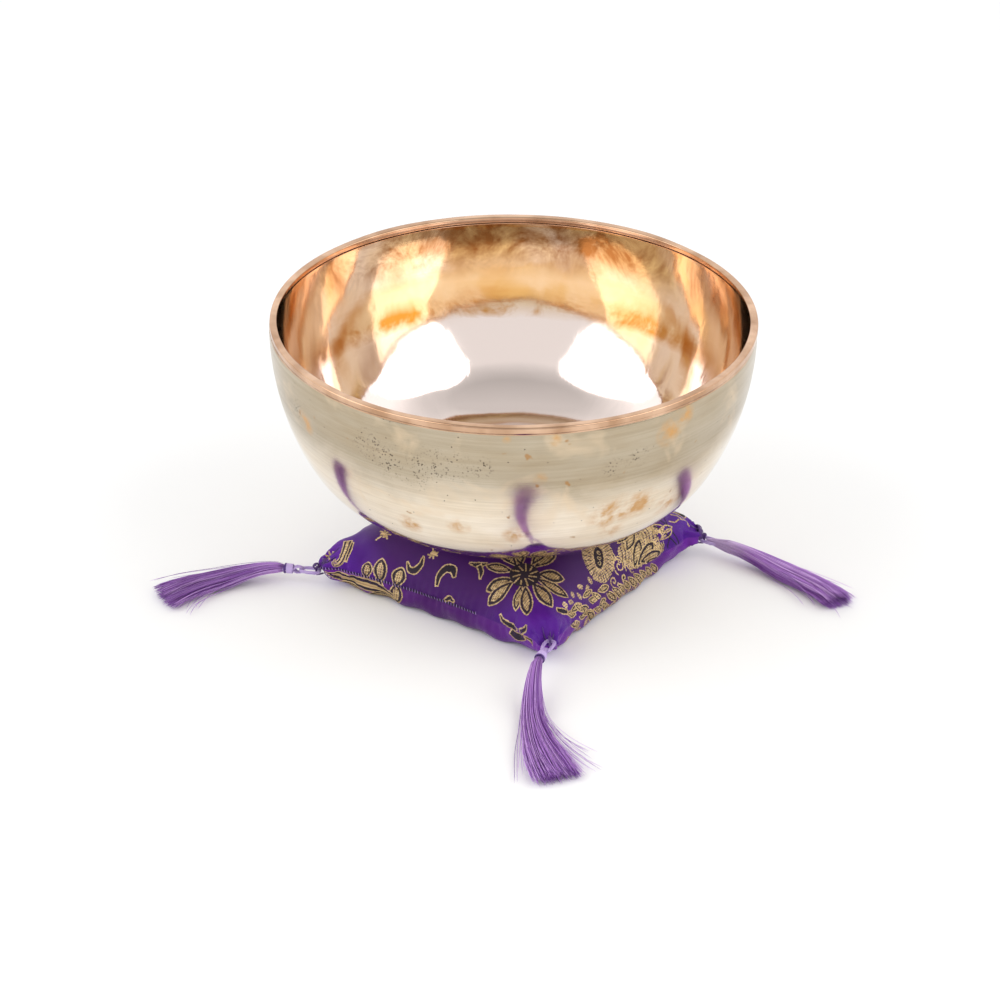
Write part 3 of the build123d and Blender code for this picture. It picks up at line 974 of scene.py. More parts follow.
class Pattern:
    """The brocade's picture on one sheet: which thread shows at each pick and place along it."""

    def __init__(self):
        self.cells = np.zeros((ROWS, COLUMNS), np.int8)
        self.b = -HALF + PICK * (np.arange(ROWS) + 0.5)
        self.a = -HALF + SAMPLE * (np.arange(COLUMNS) + 0.5)

    def window(self, points, margin):
        low, high = points.min(0) - margin, points.max(0) + margin
        rows = slice(*np.searchsorted(self.b, (low[1], high[1])))
        columns = slice(*np.searchsorted(self.a, (low[0], high[0])))
        a, b = np.meshgrid(self.a[columns], self.b[rows])
        return rows, columns, a, b

    def fill(self, points, value, grain=False):
        points = np.asarray(points, float)
        rows, columns, a, b = self.window(points, 0.0)
        inside = np.zeros(a.shape, bool)
        for (x0, y0), (x1, y1) in zip(points, np.roll(points, -1, 0)):
            if y0 == y1:
                continue
            crosses = ((y0 > b) != (y1 > b)) & (a < (x1 - x0) * (b - y0) / (y1 - y0) + x0)
            inside ^= crosses
        if grain:
            row = np.arange(ROWS)[rows][:, None]
            column = np.arange(COLUMNS)[columns][None, :]
            inside &= ((column + 2 * row) // 2 + row) % 4 != 0
        self.cells[rows, columns][inside] = value

    def stroke(self, points, value, width=0.62, closed=False):
        points = np.asarray(points, float)
        rows, columns, a, b = self.window(points, width)
        near = np.full(a.shape, 9.9)
        ends = np.roll(points, -1, 0) if closed else points[1:]
        for start, end in zip(points, ends):
            run = end - start
            size = run @ run
            if size == 0:
                continue
            share = np.clip(((a - start[0]) * run[0] + (b - start[1]) * run[1]) / size, 0, 1)
            away = np.hypot(a - start[0] - share * run[0], b - start[1] - share * run[1])
            near = np.minimum(near, away)
        self.cells[rows, columns][near < width / 2] = value

    def petal(self, root, angle, length, width, fullness=0.65):
        """A flower's petal: gold outline, a dark gap, and a grained gold inside."""
        outer = petal_outline(root, angle, length, width, fullness)
        self.fill(outer, DARK)
        inner = petal_outline(
            along(root, angle, 0.16 * length), angle, 0.70 * length, 0.52 * width, fullness
        )
        self.fill(inner, GOLD, grain=True)
        self.stroke(outer, GOLD, closed=True)

    def outline_petal(self, root, angle, length, width, nested=2):
        """Nested gold outlines, as in a plume."""
        for step in range(nested):
            share = 1 - 0.3 * step
            outline = petal_outline(root, angle, length * share, width * share, 0.6)
            self.stroke(outline, GOLD, closed=True)
        core = petal_outline(root, angle, length * 0.42, width * 0.40, 0.6)
        self.fill(core, GOLD, grain=True)

    def taper(self, spine, widths, grained=False):
        """A curled leaf along a spine, dark inside a gold outline."""
        outline = ribbon_outline(spine, widths)
        self.fill(outline, DARK)
        if grained:
            inner = ribbon_outline(spine, np.asarray(widths) * 0.35)
            self.fill(inner, GOLD)
        self.stroke(outline, GOLD, closed=True)

    def flower(self, middle, radius, turn=0.0, petals=12):
        """Uneven outlined petals round a dark eye of short dashes."""
        for index in range(petals):
            angle = turn + 360 * index / petals + 8 * math.sin(3.7 * index)
            length = radius * (0.68 + 0.10 * math.cos(2.4 * index))
            width = radius * (0.27 + 0.06 * math.sin(1.9 * index))
            self.petal(along(middle, angle, 0.27 * radius), angle, length, width, 0.62)
        self.fill(round_outline(middle, 0.34 * radius, 0.30 * radius, turn), DARK)
        for index in range(11):
            angle = turn + 33 * index
            start, end = 0.10 + 0.03 * (index % 3), 0.25 + 0.04 * (index % 2)
            self.stroke([along(middle, angle, start * radius), along(middle, angle + 9, end * radius)],
                        GOLD, 0.8)

    def sprig(self, middle, size, turn=90.0):
        for lean, reach in ((-70, 0.8), (-35, 1.0), (0, 1.1), (35, 1.0), (70, 0.8)):
            tip = along(middle, turn + lean, size * reach)
            start = along(middle, turn + lean, size * 0.25)
            bend = along(middle, turn + lean * 0.7, size * 0.65)
            self.stroke([start, bend, tip], GOLD, 0.9)
        self.stroke([along(middle, turn + 180, size * 0.7), middle], GOLD, 0.9)

    def scroll(self, middle, radius, turns=1.6, turn=0.0, width=0.75):
        steps = np.linspace(0.15, 1, 28)
        angles = np.radians(turn) + steps * turns * 2 * math.pi
        spiral = np.stack([np.cos(angles), np.sin(angles)], 1) * (steps * radius)[:, None]
        self.stroke(np.asarray(middle) + spiral, GOLD, width)

    def fan(self, middle, angle, length, width, eye_length, eye_width):
        """Fine gold rays round a dark eye."""
        outer = round_outline(middle, length, width, angle, 40)
        self.fill(outer, GOLD, grain=True)
        for start, end in zip(
            round_outline(middle, eye_length * 1.25, eye_width * 1.3, angle, 26),
            round_outline(middle, length, width, angle, 26),
        ):
            self.stroke([start + (end - start) * 0.15, end], DARK, 0.40)
        eye = round_outline(middle, eye_length, eye_width, angle)
        self.fill(eye, DARK)
        self.stroke(round_outline(middle, eye_length * 1.12, eye_width * 1.15, angle), GOLD, 0.5,
                    closed=True)
        for share in (-0.5, 0.0, 0.5):
            self.scroll(along(middle, angle, share * eye_length), eye_width * 0.45, 1.2, 70 * share,
                        0.45)


def along(point, angle, distance):
    turn = math.radians(angle)
    return np.asarray(point, float) + distance * np.array([math.cos(turn), math.sin(turn)])


def petal_outline(root, angle, length, width, fullness):
    """A teardrop from its root to a round tip."""
    steps = np.linspace(0, 1, 13)
    half = width / 2 * np.sin(math.pi * np.clip(steps, 0, 1) ** (1 / fullness * 0.75)) ** 0.75
    half = np.maximum(half, 0)
    turn = math.radians(angle)
    ahead = np.array([math.cos(turn), math.sin(turn)])
    side = np.array([-ahead[1], ahead[0]])
    middle = np.asarray(root, float) + ahead * (steps * length)[:, None]
    return np.vstack([middle + side * half[:, None], (middle - side * half[:, None])[::-1]])


def round_outline(middle, half_length, half_width, angle=0.0, count=24):
    steps = np.arange(count) * 2 * math.pi / count
    turn = math.radians(angle)
    x, y = half_length * np.cos(steps), half_width * np.sin(steps)
    return np.asarray(middle, float) + np.stack([
        x * math.cos(turn) - y * math.sin(turn),
        x * math.sin(turn) + y * math.cos(turn),
    ], 1)


def ribbon_outline(spine, widths):
    """Both sides of a smooth spine, as one closed outline."""
    spine = np.asarray(spine, float)
    steps = np.linspace(0, len(spine) - 1, 6 * len(spine))
    knots = np.arange(len(spine))
    smooth = np.stack([np.interp(steps, knots, spine[:, k]) for k in (0, 1)], 1)
    rounded(smooth, 4, 2)
    half = np.interp(steps, knots, widths) / 2
    ahead = unit(np.gradient(smooth, axis=0))
    side = np.stack([-ahead[:, 1], ahead[:, 0]], 1) * half[:, None]
    return np.vstack([smooth + side, (smooth - side)[::-1]])


def draw_left_face(top, bottom):
    """Leaves, plumes and clouds between the left and front corners."""
    top.taper([(-59.8, -58.5), (-57.6, -64), (-58.6, -70.5), (-61.6, -72.8), (-63.0, -69.5)],
              [4.2, 4.0, 3.2, 2.4, 1.4], grained=True)
    top.taper([(-56.8, -59), (-55.2, -64), (-56.0, -70)], [1.2, 1.8, 1.0])
    top.sprig((-42.5, -53.0), 4.6, 60)
    top.sprig((-11.6, -53.5), 3.4, -60)
    top.sprig((-67.0, -68.5), 3.6, 120)
    for sheet in (top, bottom):
        sheet.petal((-43.0, -75.5), 95, 8.0, 6.4)
        sheet.petal((-35.0, -76.5), 96, 12.5, 7.6)
        sheet.petal((-25.4, -76.0), 84, 10.5, 8.0)
    top.taper([(-15.3, -57.2), (-14.6, -61.5), (-16.6, -65.4), (-20.0, -65.8), (-22.6, -62.2)],
              [0.8, 2.6, 3.6, 2.8, 0.8])
    top.taper([(-2.2, -69.0), (-3.0, -64.0), (-0.8, -59.2), (3.4, -58.6), (5.6, -62.2)],
              [1.6, 3.0, 4.0, 4.2, 1.6])
    top.taper([(10.0, -53.0), (14.6, -52.6), (18.8, -50.2)], [0.8, 2.8, 1.2])
    top.taper([(15.4, -52.4), (18.4, -55.0), (19.6, -58.6)], [2.4, 2.6, 0.8])
    top.flower((39.8, -47.4), 23.0, 12.0)
    top.taper([(4.2, -74.6), (6.4, -72.4), (9.4, -73.6)], [1.4, 2.6, 1.2])
    top.taper([(38.2, -70.6), (41.0, -73.0), (46.0, -73.6), (50.0, -74.6)], [0.8, 2.2, 2.6, 2.0])
    top.taper([(52.0, -74.6), (54.8, -72.6), (55.6, -69.8)], [2.6, 2.4, 0.8])
    bottom.taper([(46.0, -73.6), (50.5, -71.4), (55.0, -73.4)], [3.4, 5.0, 3.0])
    bottom.taper([(55.0, -73.6), (58.5, -73.0), (60.6, -70.0)], [1.2, 2.0, 0.8])
    bottom.taper([(-70.0, -72.6), (-60.0, -70.6), (-48.0, -70.4), (-36.0, -70.4), (-26.0, -68.0)],
                 [1.5, 5.0, 6.5, 7.0, 2.0], grained=True)
    bottom.petal((-60.0, -66.5), 12, 16.0, 5.0)
    bottom.petal((-44.0, -63.5), -8, 17.0, 5.5)


def draw_right_face(top, bottom):
    """A peony's eye, scrolls and feathers between the front and right corners."""
    top.fan((58.4, -5.4), -46, 13.5, 10.0, 6.2, 3.0)
    for middle, length, width, turn in (
        ((67.5, 29.0), 10.5, 6.5, 100), ((60.0, 22.0), 9.0, 5.0, 110), ((66.0, 15.0), 8.0, 5.5, 60),
        ((71.0, 22.0), 9.0, 3.5, 95), ((62.0, 33.0), 8.0, 4.0, 80), ((72.0, 36.0), 6.0, 2.6, 90),
    ):
        top.fill(round_outline(middle, length, width, turn), GOLD, grain=True)
        for share in (-0.75, -0.45, -0.15, 0.15, 0.45, 0.75):
            vein = along(middle, turn, share * length)
            top.stroke([along(vein, turn + 90, width * 0.8), along(vein, turn + 20, 1.2),
                        along(vein, turn - 90, width * 0.8)], DARK, 0.45)
            top.stroke([along(vein, turn + 70, width), along(vein, turn, 1.6)], GOLD, 0.5)
    for index in range(14):
        spot = (62.0 + 3.4 * (index % 4), 3.0 + 3.1 * index)
        top.scroll(spot, 2.3, 1.4, 77 * index, 0.6)
    top.scroll((67.6, 4.2), 4.6, 1.8, 30)
    top.scroll((72.6, -3.6), 3.4, 1.6, 200)
    top.scroll((70.4, 11.0), 3.6, 1.5, 110)
    top.fill(round_outline((74.0, 4.4), 1.7, 1.7), GOLD)
    top.fill(round_outline((74.0, 4.4), 0.8, 0.8), DARK)
    for root, angle, length, width in (
        ((73.0, 14.0), 130, 17.0, 6.0), ((73.0, 17.0), 108, 19.0, 6.5), ((72.5, 20.0), 88, 17.0, 5.5),
        ((74.0, 24.0), 74, 14.0, 4.5), ((64.0, 14.0), 118, 15.0, 5.5),
        ((58.0, 12.0), 100, 14.0, 5.0),
    ):
        top.petal(root, angle, length, width)
    for start, end in (((52.0, 44.0), (74.5, 52.0)), ((56.0, 52.0), (74.0, 44.0)),
                       ((60.0, 40.0), (74.5, 50.0))):
        top.stroke([start, end], DARK, 0.8)
    for root, angle, length in (((68.0, 40.0), 100, 10.0), ((64.0, 40.0), 84, 11.0),
                                ((60.0, 36.0), 70, 10.0)):
        top.outline_petal(root, angle, length, 3.4, 1)
    top.stroke([(59.0, 57.0), (61.4, 59.4), (64.0, 60.0), (65.4, 62.6), (68.4, 63.6)], GOLD, 0.8)
    top.stroke([(62.0, 52.0), (64.0, 55.0), (63.4, 58.4)], GOLD, 0.7)
    for index in range(8):
        b = -49.0 + 4.4 * index
        lean = 26 * math.sin(1.9 * index)
        aside = 1.6 * math.sin(2.7 * index)
        top.petal((68.6 + 0.35 * index + aside, b), 62 + lean, 9.5, 3.4 + 0.4 * aside)
        top.fill(round_outline((65.2 + aside, b + 2.4), 1.9, 1.3, 60 * index), GOLD, grain=True)
        bottom.petal((75.5 - 0.5 * index, b + 1.0), 118 + lean, 9.0, 3.4 - 0.4 * aside)
        bottom.fill(round_outline((66.5 - aside, b), 2.4, 1.4, 50 * index), GOLD, grain=True)
    top.taper([(63.8, -52.6), (66.4, -50.2), (68.6, -47.4)], [2.2, 3.2, 1.8])
    for index in range(9):
        b = -12.0 + 5.0 * index
        bottom.petal((76.0 - 0.3 * index, b), 140, 10.0, 3.4)
        bottom.scroll((66.0, b), 2.6, 1.3, 50 * index, 0.7)
    bottom.flower((52.0, 34.0), 12.0, 20.0)


def draw_elsewhere(top, bottom):
    """The same motifs over the rest of the cloth, under the bowl and behind."""
    top.flower((-28.0, 12.0), 20.0, 40.0)
    top.flower((-38.0, 62.0), 17.0, 10.0)
    top.flower((36.0, 56.0), 16.0, 25.0)
    top.fan((-63.0, 20.0), 120, 12.0, 9.0, 5.5, 2.8)
    top.fan((12.0, 30.0), 30, 12.0, 9.0, 5.5, 2.8)
    bottom.flower((-30.0, -25.0), 20.0, 0.0)
    bottom.flower((14.0, 8.0), 20.0, 30.0)
    bottom.flower((-34.0, 44.0), 17.0, 15.0)
    bottom.fan((30.0, -44.0), 60, 12.0, 9.0, 5.5, 2.8)
    for sheet, offset in ((top, 0.0), (bottom, 9.0)):
        for index, (a, b) in enumerate((
            (-62, -20), (-46, -34), (-60, 50), (0, -22), (24, 4), (-8, 62), (10, 66), (56, 66),
            (-66, 68), (-20, 40), (-66, -4), (-10, -40), (40, 24),
        )):
            a, b = a + offset * 0.6, b - offset * 0.4
            turn = 51.0 * index + offset
            if index % 3 == 0:
                sheet.sprig((a, b), 4.5, turn)
            elif index % 3 == 1:
                sheet.taper([along((a, b), turn + lean, 6.0) for lean in (-70, -20, 40, 100)],
                            [0.8, 3.0, 3.8, 0.8])
            else:
                sheet.scroll((a, b), 4.6, 1.5, turn)


def woven_runs(cells, value):
    """Each stretch of one thread that shows: its row, first and last column."""
    shown = np.pad((cells == value).astype(np.int8), ((0, 0), (1, 1)))
    change = np.diff(shown, axis=1)
    row, start = np.nonzero(change == 1)
    _, end = np.nonzero(change == -1)
    return row, start, end


def weave(drape, patterns, value):
    """Every shown stretch of thread as a small raised ribbon on the cloth."""
    stride = 3
    parts = []
    for sheet, pattern in enumerate(patterns):
        row, start, end = woven_runs(pattern.cells, value)
        steps = np.maximum(1, np.ceil((end - start) / stride).astype(int))
        for size in np.unique(steps):
            chosen = steps == size
            share = np.linspace(0, 1, size + 1)
            first = -HALF + SAMPLE * start[chosen][:, None]
            last = -HALF + SAMPLE * end[chosen][:, None]
            a = first + (last - first) * share[None, :]
            b = np.broadcast_to((-HALF + PICK * (row[chosen] + 0.5))[:, None], a.shape)
            crown = np.full(a.shape, 0.15 * MM)
            crown[:, 0] = crown[:, -1] = 0.04 * MM
            if size == 1:
                crown[:] = 0.12 * MM
            low = np.full(a.shape, 0.02 * MM)
            half = PICK * 0.46
            ribs = np.stack([
                drape.at(sheet, a, b - half, low),
                drape.at(sheet, a, b, crown),
                drape.at(sheet, a, b + half, low),
            ], 2)
            count = len(a)
            index = np.arange(count * (size + 1) * 3).reshape(count, size + 1, 3)
            quads = np.stack([
                index[:, :-1, :-1], index[:, 1:, :-1], index[:, 1:, 1:], index[:, :-1, 1:]
            ], -1).reshape(-1, 4)
            if sheet == 1:
                quads = quads[:, ::-1]
            parts.append((ribs.reshape(-1, 3), quads))
    return join_parts(parts)


def make_brocade(drape):
    top, bottom = Pattern(), Pattern()
    draw_elsewhere(top, bottom)
    draw_left_face(top, bottom)
    draw_right_face(top, bottom)
    gold = Paint("gold_thread")
    lot = gold.add("ShaderNodeNewGeometry").outputs["Random Per Island"]
    gold.set(Base_Color=gold.mix(lot, (0.36, 0.23, 0.09), (0.76, 0.56, 0.29)), Metallic=0.45)
    gold.set(Roughness=0.42)
    glint = gold.noise(gold.place(), 1800.0, 2.0)
    gold.set(Normal=gold.bump(glint, 0.5, 0.0001))
    dark = thread_paint("dark_weft", (0.022, 0.010, 0.020), (0.006, 0.003, 0.008), 0.75, 0.0)
    for name, value, material in (("gold_weave", GOLD, gold.material), ("dark_weave", DARK, dark)):
        piece = fast_mesh(name, *weave(drape, (top, bottom), value))
        piece.data.materials.append(material)
        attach(piece, "cushion")


# ---------------------------------------------------------------- stitches

WAXED = ((0.13, 0.055, 0.25), (0.035, 0.012, 0.085))
STITCH_START, STITCH_END, STITCH_PITCH = -71.0, 24.0, 0.85
DARK_STITCH, PALE_STITCH = 0.30 * MM, 0.12 * MM
WINDINGS, WINDING_PITCH, WINDING_THREAD = 6, 0.42, 0.24 * MM
UPRIGHT_STRANDS, UPRIGHT_THREAD = 4, 0.30 * MM
KNOT_RINGS = 7
LONG_STITCHES, LONG_THREAD = 9, 0.20 * MM


def slip_stitches(drape):
    """The hand-sewn closing of the seam, dark and pale by turns."""
    places = np.arange(STITCH_START, STITCH_END, STITCH_PITCH)
    paths = []
    for a in places:
        upper = drape.at(0, [a, a + 0.15], [-74.1, -74.6], 0.18 * MM)
        lower = drape.at(1, [a + 0.45, a + 0.60], [-74.7, -74.4], 0.18 * MM)
        edge = drape.at(0, [a + 0.3], [-75.0], 0.30 * MM)
        paths.append(np.vstack([upper, edge, lower]))
    paths = np.array(paths)
    dark = tubes(paths[::2], DARK_STITCH, 4)
    pale = tubes(paths[1::2], PALE_STITCH, 4)
    piece = fast_mesh("closing_slip_stitches", *join_parts([dark, pale]))
    two_tone(piece, len(dark[1]), thread_paint("stitch_dark", (0.018, 0.008, 0.03), (0.006, 0.002, 0.012)),
             thread_paint("stitch_pale", (0.62, 0.45, 0.85), (0.35, 0.20, 0.60)))
    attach(piece, "cushion")
    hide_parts("closing_stitches")


def two_tone(piece, first_faces, first, second):
    """One material for a piece's first faces and another for the rest."""
    piece.data.materials.append(first)
    piece.data.materials.append(second)
    material = (np.arange(len(piece.data.polygons)) >= first_faces).astype(np.int32)
    piece.data.polygons.foreach_set("material_index", material)


def sideways(direction):
    return np.array([-direction[1], direction[0], 0])


def corner_frame(name):
    """A corner's upright thread, its tassel's eye, the way from one to the other, and across."""
    joints = {joint["name"]: joint for joint in frame["joints"]}
    upright, eye = (np.array(joints[kind + name]["pos_m"]) for kind in ("loop_swing_", "tassel_tilt_"))
    heading = unit((eye - upright) * [1, 1, 0])
    return upright, eye, heading, sideways(heading)


def rounded(values, times, weight):
    """Smooths a line's inner points with their neighbours."""
    for _ in range(times):
        values[1:-1] = (values[:-2] + weight * values[1:-1] + values[2:]) / (2 + weight)


KNOT_SIZES = {"left": 1.55, "front": 0.8, "right": 1.0, "back": 1.0}
# How far inside the upright the winding starts, in mm, clear of the swinging loop
WINDING_STARTS = {"left": 3.5, "front": 1.7, "right": 1.7, "back": 1.7}


def corner_whip(name, drape, cover_points):
    """Dark thread wound round the corner's end, with long stitches into the cloth."""
    upright = corner_frame(name)[0]
    outward = unit(upright * [1, 1, 0])
    side = sideways(outward)
    radius = np.linalg.norm(upright[:2])
    random = np.random.default_rng(SEED + CORNERS.index(name))
    parts = []
    reach = cover_points @ outward
    turns = np.linspace(0, 2 * math.pi, 25)[:-1]
    rings = []
    for index in range(WINDINGS):
        distance = radius - (WINDING_STARTS[name] + WINDING_PITCH * index) * MM
        tilt = random.uniform(-0.25, 0.25)
        slab = cover_points[(np.abs(reach - distance) < 1.1 * MM)]
        slab = slab[np.abs(slab @ side) < 12 * MM]
        middle = outward * distance + UP * upright[2]
        if len(slab):
            middle = outward * distance + UP * slab[:, 2].mean()
        ring = []
        for turn in turns:
            spoke = side * math.cos(turn) + UP * math.sin(turn)
            hull = max(float(np.max((slab - middle) @ spoke)), 0.9 * MM) if len(slab) else 1.5 * MM
            hull = min(hull, WHIP_RADII[name] + 0.3 * MM)
            ring.append(middle + spoke * (hull + 0.22 * MM) + outward * tilt * MM * math.sin(turn))
        rings.append(ring)
    parts.append(tubes(np.array(rings), WINDING_THREAD, 5, across=tuple(outward), closed=True))
    steps = np.linspace(0, 1, 24)
    strands = []
    for strand in range(UPRIGHT_STRANDS):
        twist = strand * math.pi / 2 + steps * 5.0
        rise = np.interp(steps, [0, 0.25, 0.75, 1], [1.6, 2.3, -2.3, -1.6]) * MM
        back = np.interp(steps, [0, 0.25, 0.75, 1], [-4.0, 0.0, 0.0, -4.0]) * MM
        rounded(rise, 2, 1)
        rounded(back, 2, 1)
        path = upright + UP * rise[:, None] + outward * back[:, None]
        path = path + (side * np.cos(twist)[:, None] + outward * np.sin(twist)[:, None]) * 0.34 * MM
        strands.append(path)
    parts.append(tubes(np.array(strands), UPRIGHT_THREAD, 5, across=tuple(side + outward * 0.3)))
    knot = []
    for index in range(KNOT_RINGS):
        lean = random.uniform(0, math.pi)
        axis_a = unit(np.array([math.cos(lean), math.sin(lean), random.uniform(-0.8, 0.8)]))
        axis_b = unit(np.cross(axis_a, random.normal(0, 1, 3)))
        size = (0.85 + 0.04 * index) * MM * KNOT_SIZES[name]
        knot.append(
            upright + UP * (1.35 + KNOT_SIZES[name]) * MM
            + (axis_a * np.cos(turns)[:, None] + axis_b * np.sin(turns)[:, None]) * size
        )
    parts.append(tubes(np.array(knot), WINDING_THREAD, 5, closed=True))
    sign_a, sign_b = (2 * s - 1 for s in CORNER_SIGNS[name])
    long_stitches = []
    for index in range(LONG_STITCHES):
        sheet = index % 2
        spread = random.uniform(-1, 1)
        near, far = random.uniform(2.5, 4.5), random.uniform(8, 14)
        share = np.linspace(0, 1, 9)
        inward = near + (far - near) * share
        lean = spread * 0.55
        a = sign_a * (HALF - inward * (1 + min(lean, 0)) + 0.4)
        b = sign_b * (HALF - inward * (1 - max(lean, 0)) + 0.4)
        lift = (0.12 + 0.25 * np.sin(math.pi * share)) * MM
        long_stitches.append(drape.at(sheet, a, b, lift))
    parts.append(tubes(np.array(long_stitches), LONG_THREAD, 4))
    piece = fast_mesh("corner_whipping_" + name, *join_parts(parts))
    piece.data.materials.append(thread_paint("whipping_" + name, *WAXED))
    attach(piece, "cushion")
    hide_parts("corner_stitch_" + name)


# ---------------------------------------------------------------- tassels

LOOP_REACH = 8.0
LOOP_HALF_WIDTH = 2.4
LOOP_BACK = 1.6
COLLAR_START, COLLAR_END = 3.6, 8.6
SKIRT_START = 8.6
HANK_THREADS, HANK_RADIUS, HANK_THREAD = 19, 0.78, 0.20 * MM
NECK_LAYERS, NECK_COLUMNS, NECK_THREAD = 3, 11, 0.19 * MM
COLLAR_THREAD = 0.30
SILK_THREADS, SILK_POINTS, SHORT_THREADS = 420, 18, 50
# name: sideways bend in degrees, how late it comes, length, belly and tip half-widths,
# where the skirt starts from the eye, stray threads
SKIRTS = {
    "left": (57.0, 0.9, 67.0, 7.4, 10.4, 8.6, 16),
    "front": (40.0, 0.6, 90.0, 6.0, 12.8, 8.6, 22),
    "right": (-30.0, 2.0, 72.0, 6.8, 7.0, -6.4, 18),
    "back": (25.0, 2.0, 74.0, 6.2, 7.8, 8.6, 12),
}
OPENING_LENGTH = 13.0
# How much longer the threads on one side of each skirt are
CUT_SKEWS = {"left": 0.05, "front": 0.0, "right": 0.0, "back": 0.0}
LAVENDER = ((0.64, 0.50, 0.82), (0.36, 0.22, 0.58))
SILKS = (
    ((0.74, 0.47, 0.89), (0.46, 0.22, 0.66)),
    ((0.52, 0.25, 0.72), (0.28, 0.10, 0.46)),
    ((0.30, 0.10, 0.48), (0.13, 0.03, 0.26)),
)


def loop_hank(name):
    """The hanging loop: a twisted hank of fine pale threads, closed round the upright."""
    upright, _, heading, side = corner_frame(name)
    count = 64
    steps = np.arange(count) * 2 * math.pi / count
    length = (LOOP_REACH + LOOP_BACK) / 2
    middle = (LOOP_REACH - LOOP_BACK) / 2
    power = 0.62
    x = middle + length * np.sign(np.cos(steps)) * np.abs(np.cos(steps)) ** power
    y = LOOP_HALF_WIDTH * np.sign(np.sin(steps)) * np.abs(np.sin(steps)) ** power
    y = y * np.interp(x, [-LOOP_BACK, LOOP_REACH], [1.04, 0.86])
    spine = upright + heading * x[:, None] * MM + side * y[:, None] * MM
    ahead = unit(np.roll(spine, -1, 0) - np.roll(spine, 1, 0))
    out = np.cross(ahead, UP)
    paths = []
    for index in range(HANK_THREADS):
        spread = HANK_RADIUS * math.sqrt((index + 0.5) / HANK_THREADS)
        phase = index * 2.39996 + 3 * steps
        paths.append(
            spine
            + out * (np.cos(phase) * spread * MM)[:, None]
            + UP * (np.sin(phase) * spread * MM)[:, None]
        )
    piece = fast_mesh("hanging_hank_" + name,
                      *tubes(np.array(paths), HANK_THREAD, 4, across=(0, 0, 1), closed=True))
    piece.data.materials.append(thread_paint("hank_" + name, *LAVENDER, roughness=0.3))
    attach(piece, "loop_" + name)
    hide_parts("hanging_loop_" + name)


def tassel_neck(name):
    """Threads folded over the loop's end and running on through the collar."""
    _, eye, heading, side = corner_frame(name)
    knots_x = [9.4, 7.0, 4.2, 2.0, 0.4, -1.0, -1.62, -1.0, 0.4, 2.0, 4.2, 7.0, 9.4]
    knots_z = [-1.0, -1.2, -1.35, -1.62, -1.66, -1.2, 0.0, 1.2, 1.66, 1.62, 1.35, 1.2, 1.0]
    steps = np.linspace(0, len(knots_x) - 1, 44)
    x = np.interp(steps, range(len(knots_x)), knots_x)
    z = np.interp(steps, range(len(knots_z)), knots_z)
    rounded(x, 3, 2)
    rounded(z, 3, 2)
    paths = []
    for layer in range(NECK_LAYERS):
        for column in range(NECK_COLUMNS):
            share = (column - 5) / 5
            spread = np.interp(x, [-1.7, 1.0, 3.6, 9.4], [1.0, 1.1, 1.75, 1.85])
            bulge = np.interp(x, [-1.7, 2.0, 3.6, 9.4], [0.0, 0.0, 1.0, 1.0])
            depth = 1 - 0.28 * layer * (bulge + 0.10)
            height = z * depth * (1 - bulge * 0.55 * share**2)
            wave = 0.07 * np.sin(steps * 1.3 + column + 2 * layer)
            paths.append(
                eye
                + heading * x[:, None] * MM
                + side * ((spread * share + wave)[:, None] * MM)
                + UP * (height[:, None] * MM)
            )
    piece = fast_mesh("folded_neck_" + name, *tubes(np.array(paths), NECK_THREAD, 4, across=tuple(side)))
    piece.data.materials.append(thread_paint("neck_" + name, *LAVENDER, roughness=0.3))
    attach(piece, "tassel_" + name)
    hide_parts("tassel_head_" + name)


def collar(name):
    """A pale winding round the neck that ends in two turns of dark thread."""
    _, eye, heading, side = corner_frame(name)

    def winding(start, end, turns, radius):
        steps = np.linspace(0, 1, int(turns * 22))
        angle = steps * turns * 2 * math.pi
        middle = eye + heading * ((start + (end - start) * steps) * MM)[:, None]
        spoke = side * np.cos(angle)[:, None] + UP * np.sin(angle)[:, None]
        return tubes((middle + spoke * radius * MM)[None], COLLAR_THREAD * MM, 6, across=tuple(heading))

    pale = winding(COLLAR_START + 0.3, COLLAR_END - 1.4, 6.5, 2.32)
    dark = winding(COLLAR_END - 1.2, COLLAR_END - 0.3, 2.2, 2.42)
    piece = fast_mesh("wound_collar_" + name, *join_parts([pale, dark]))
    two_tone(piece, len(pale[1]), thread_paint("collar_pale_" + name, *LAVENDER),
             thread_paint("collar_dark_" + name, (0.12, 0.04, 0.28), (0.04, 0.01, 0.12)))
    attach(piece, "tassel_" + name)
    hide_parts("neck_binding_" + name)


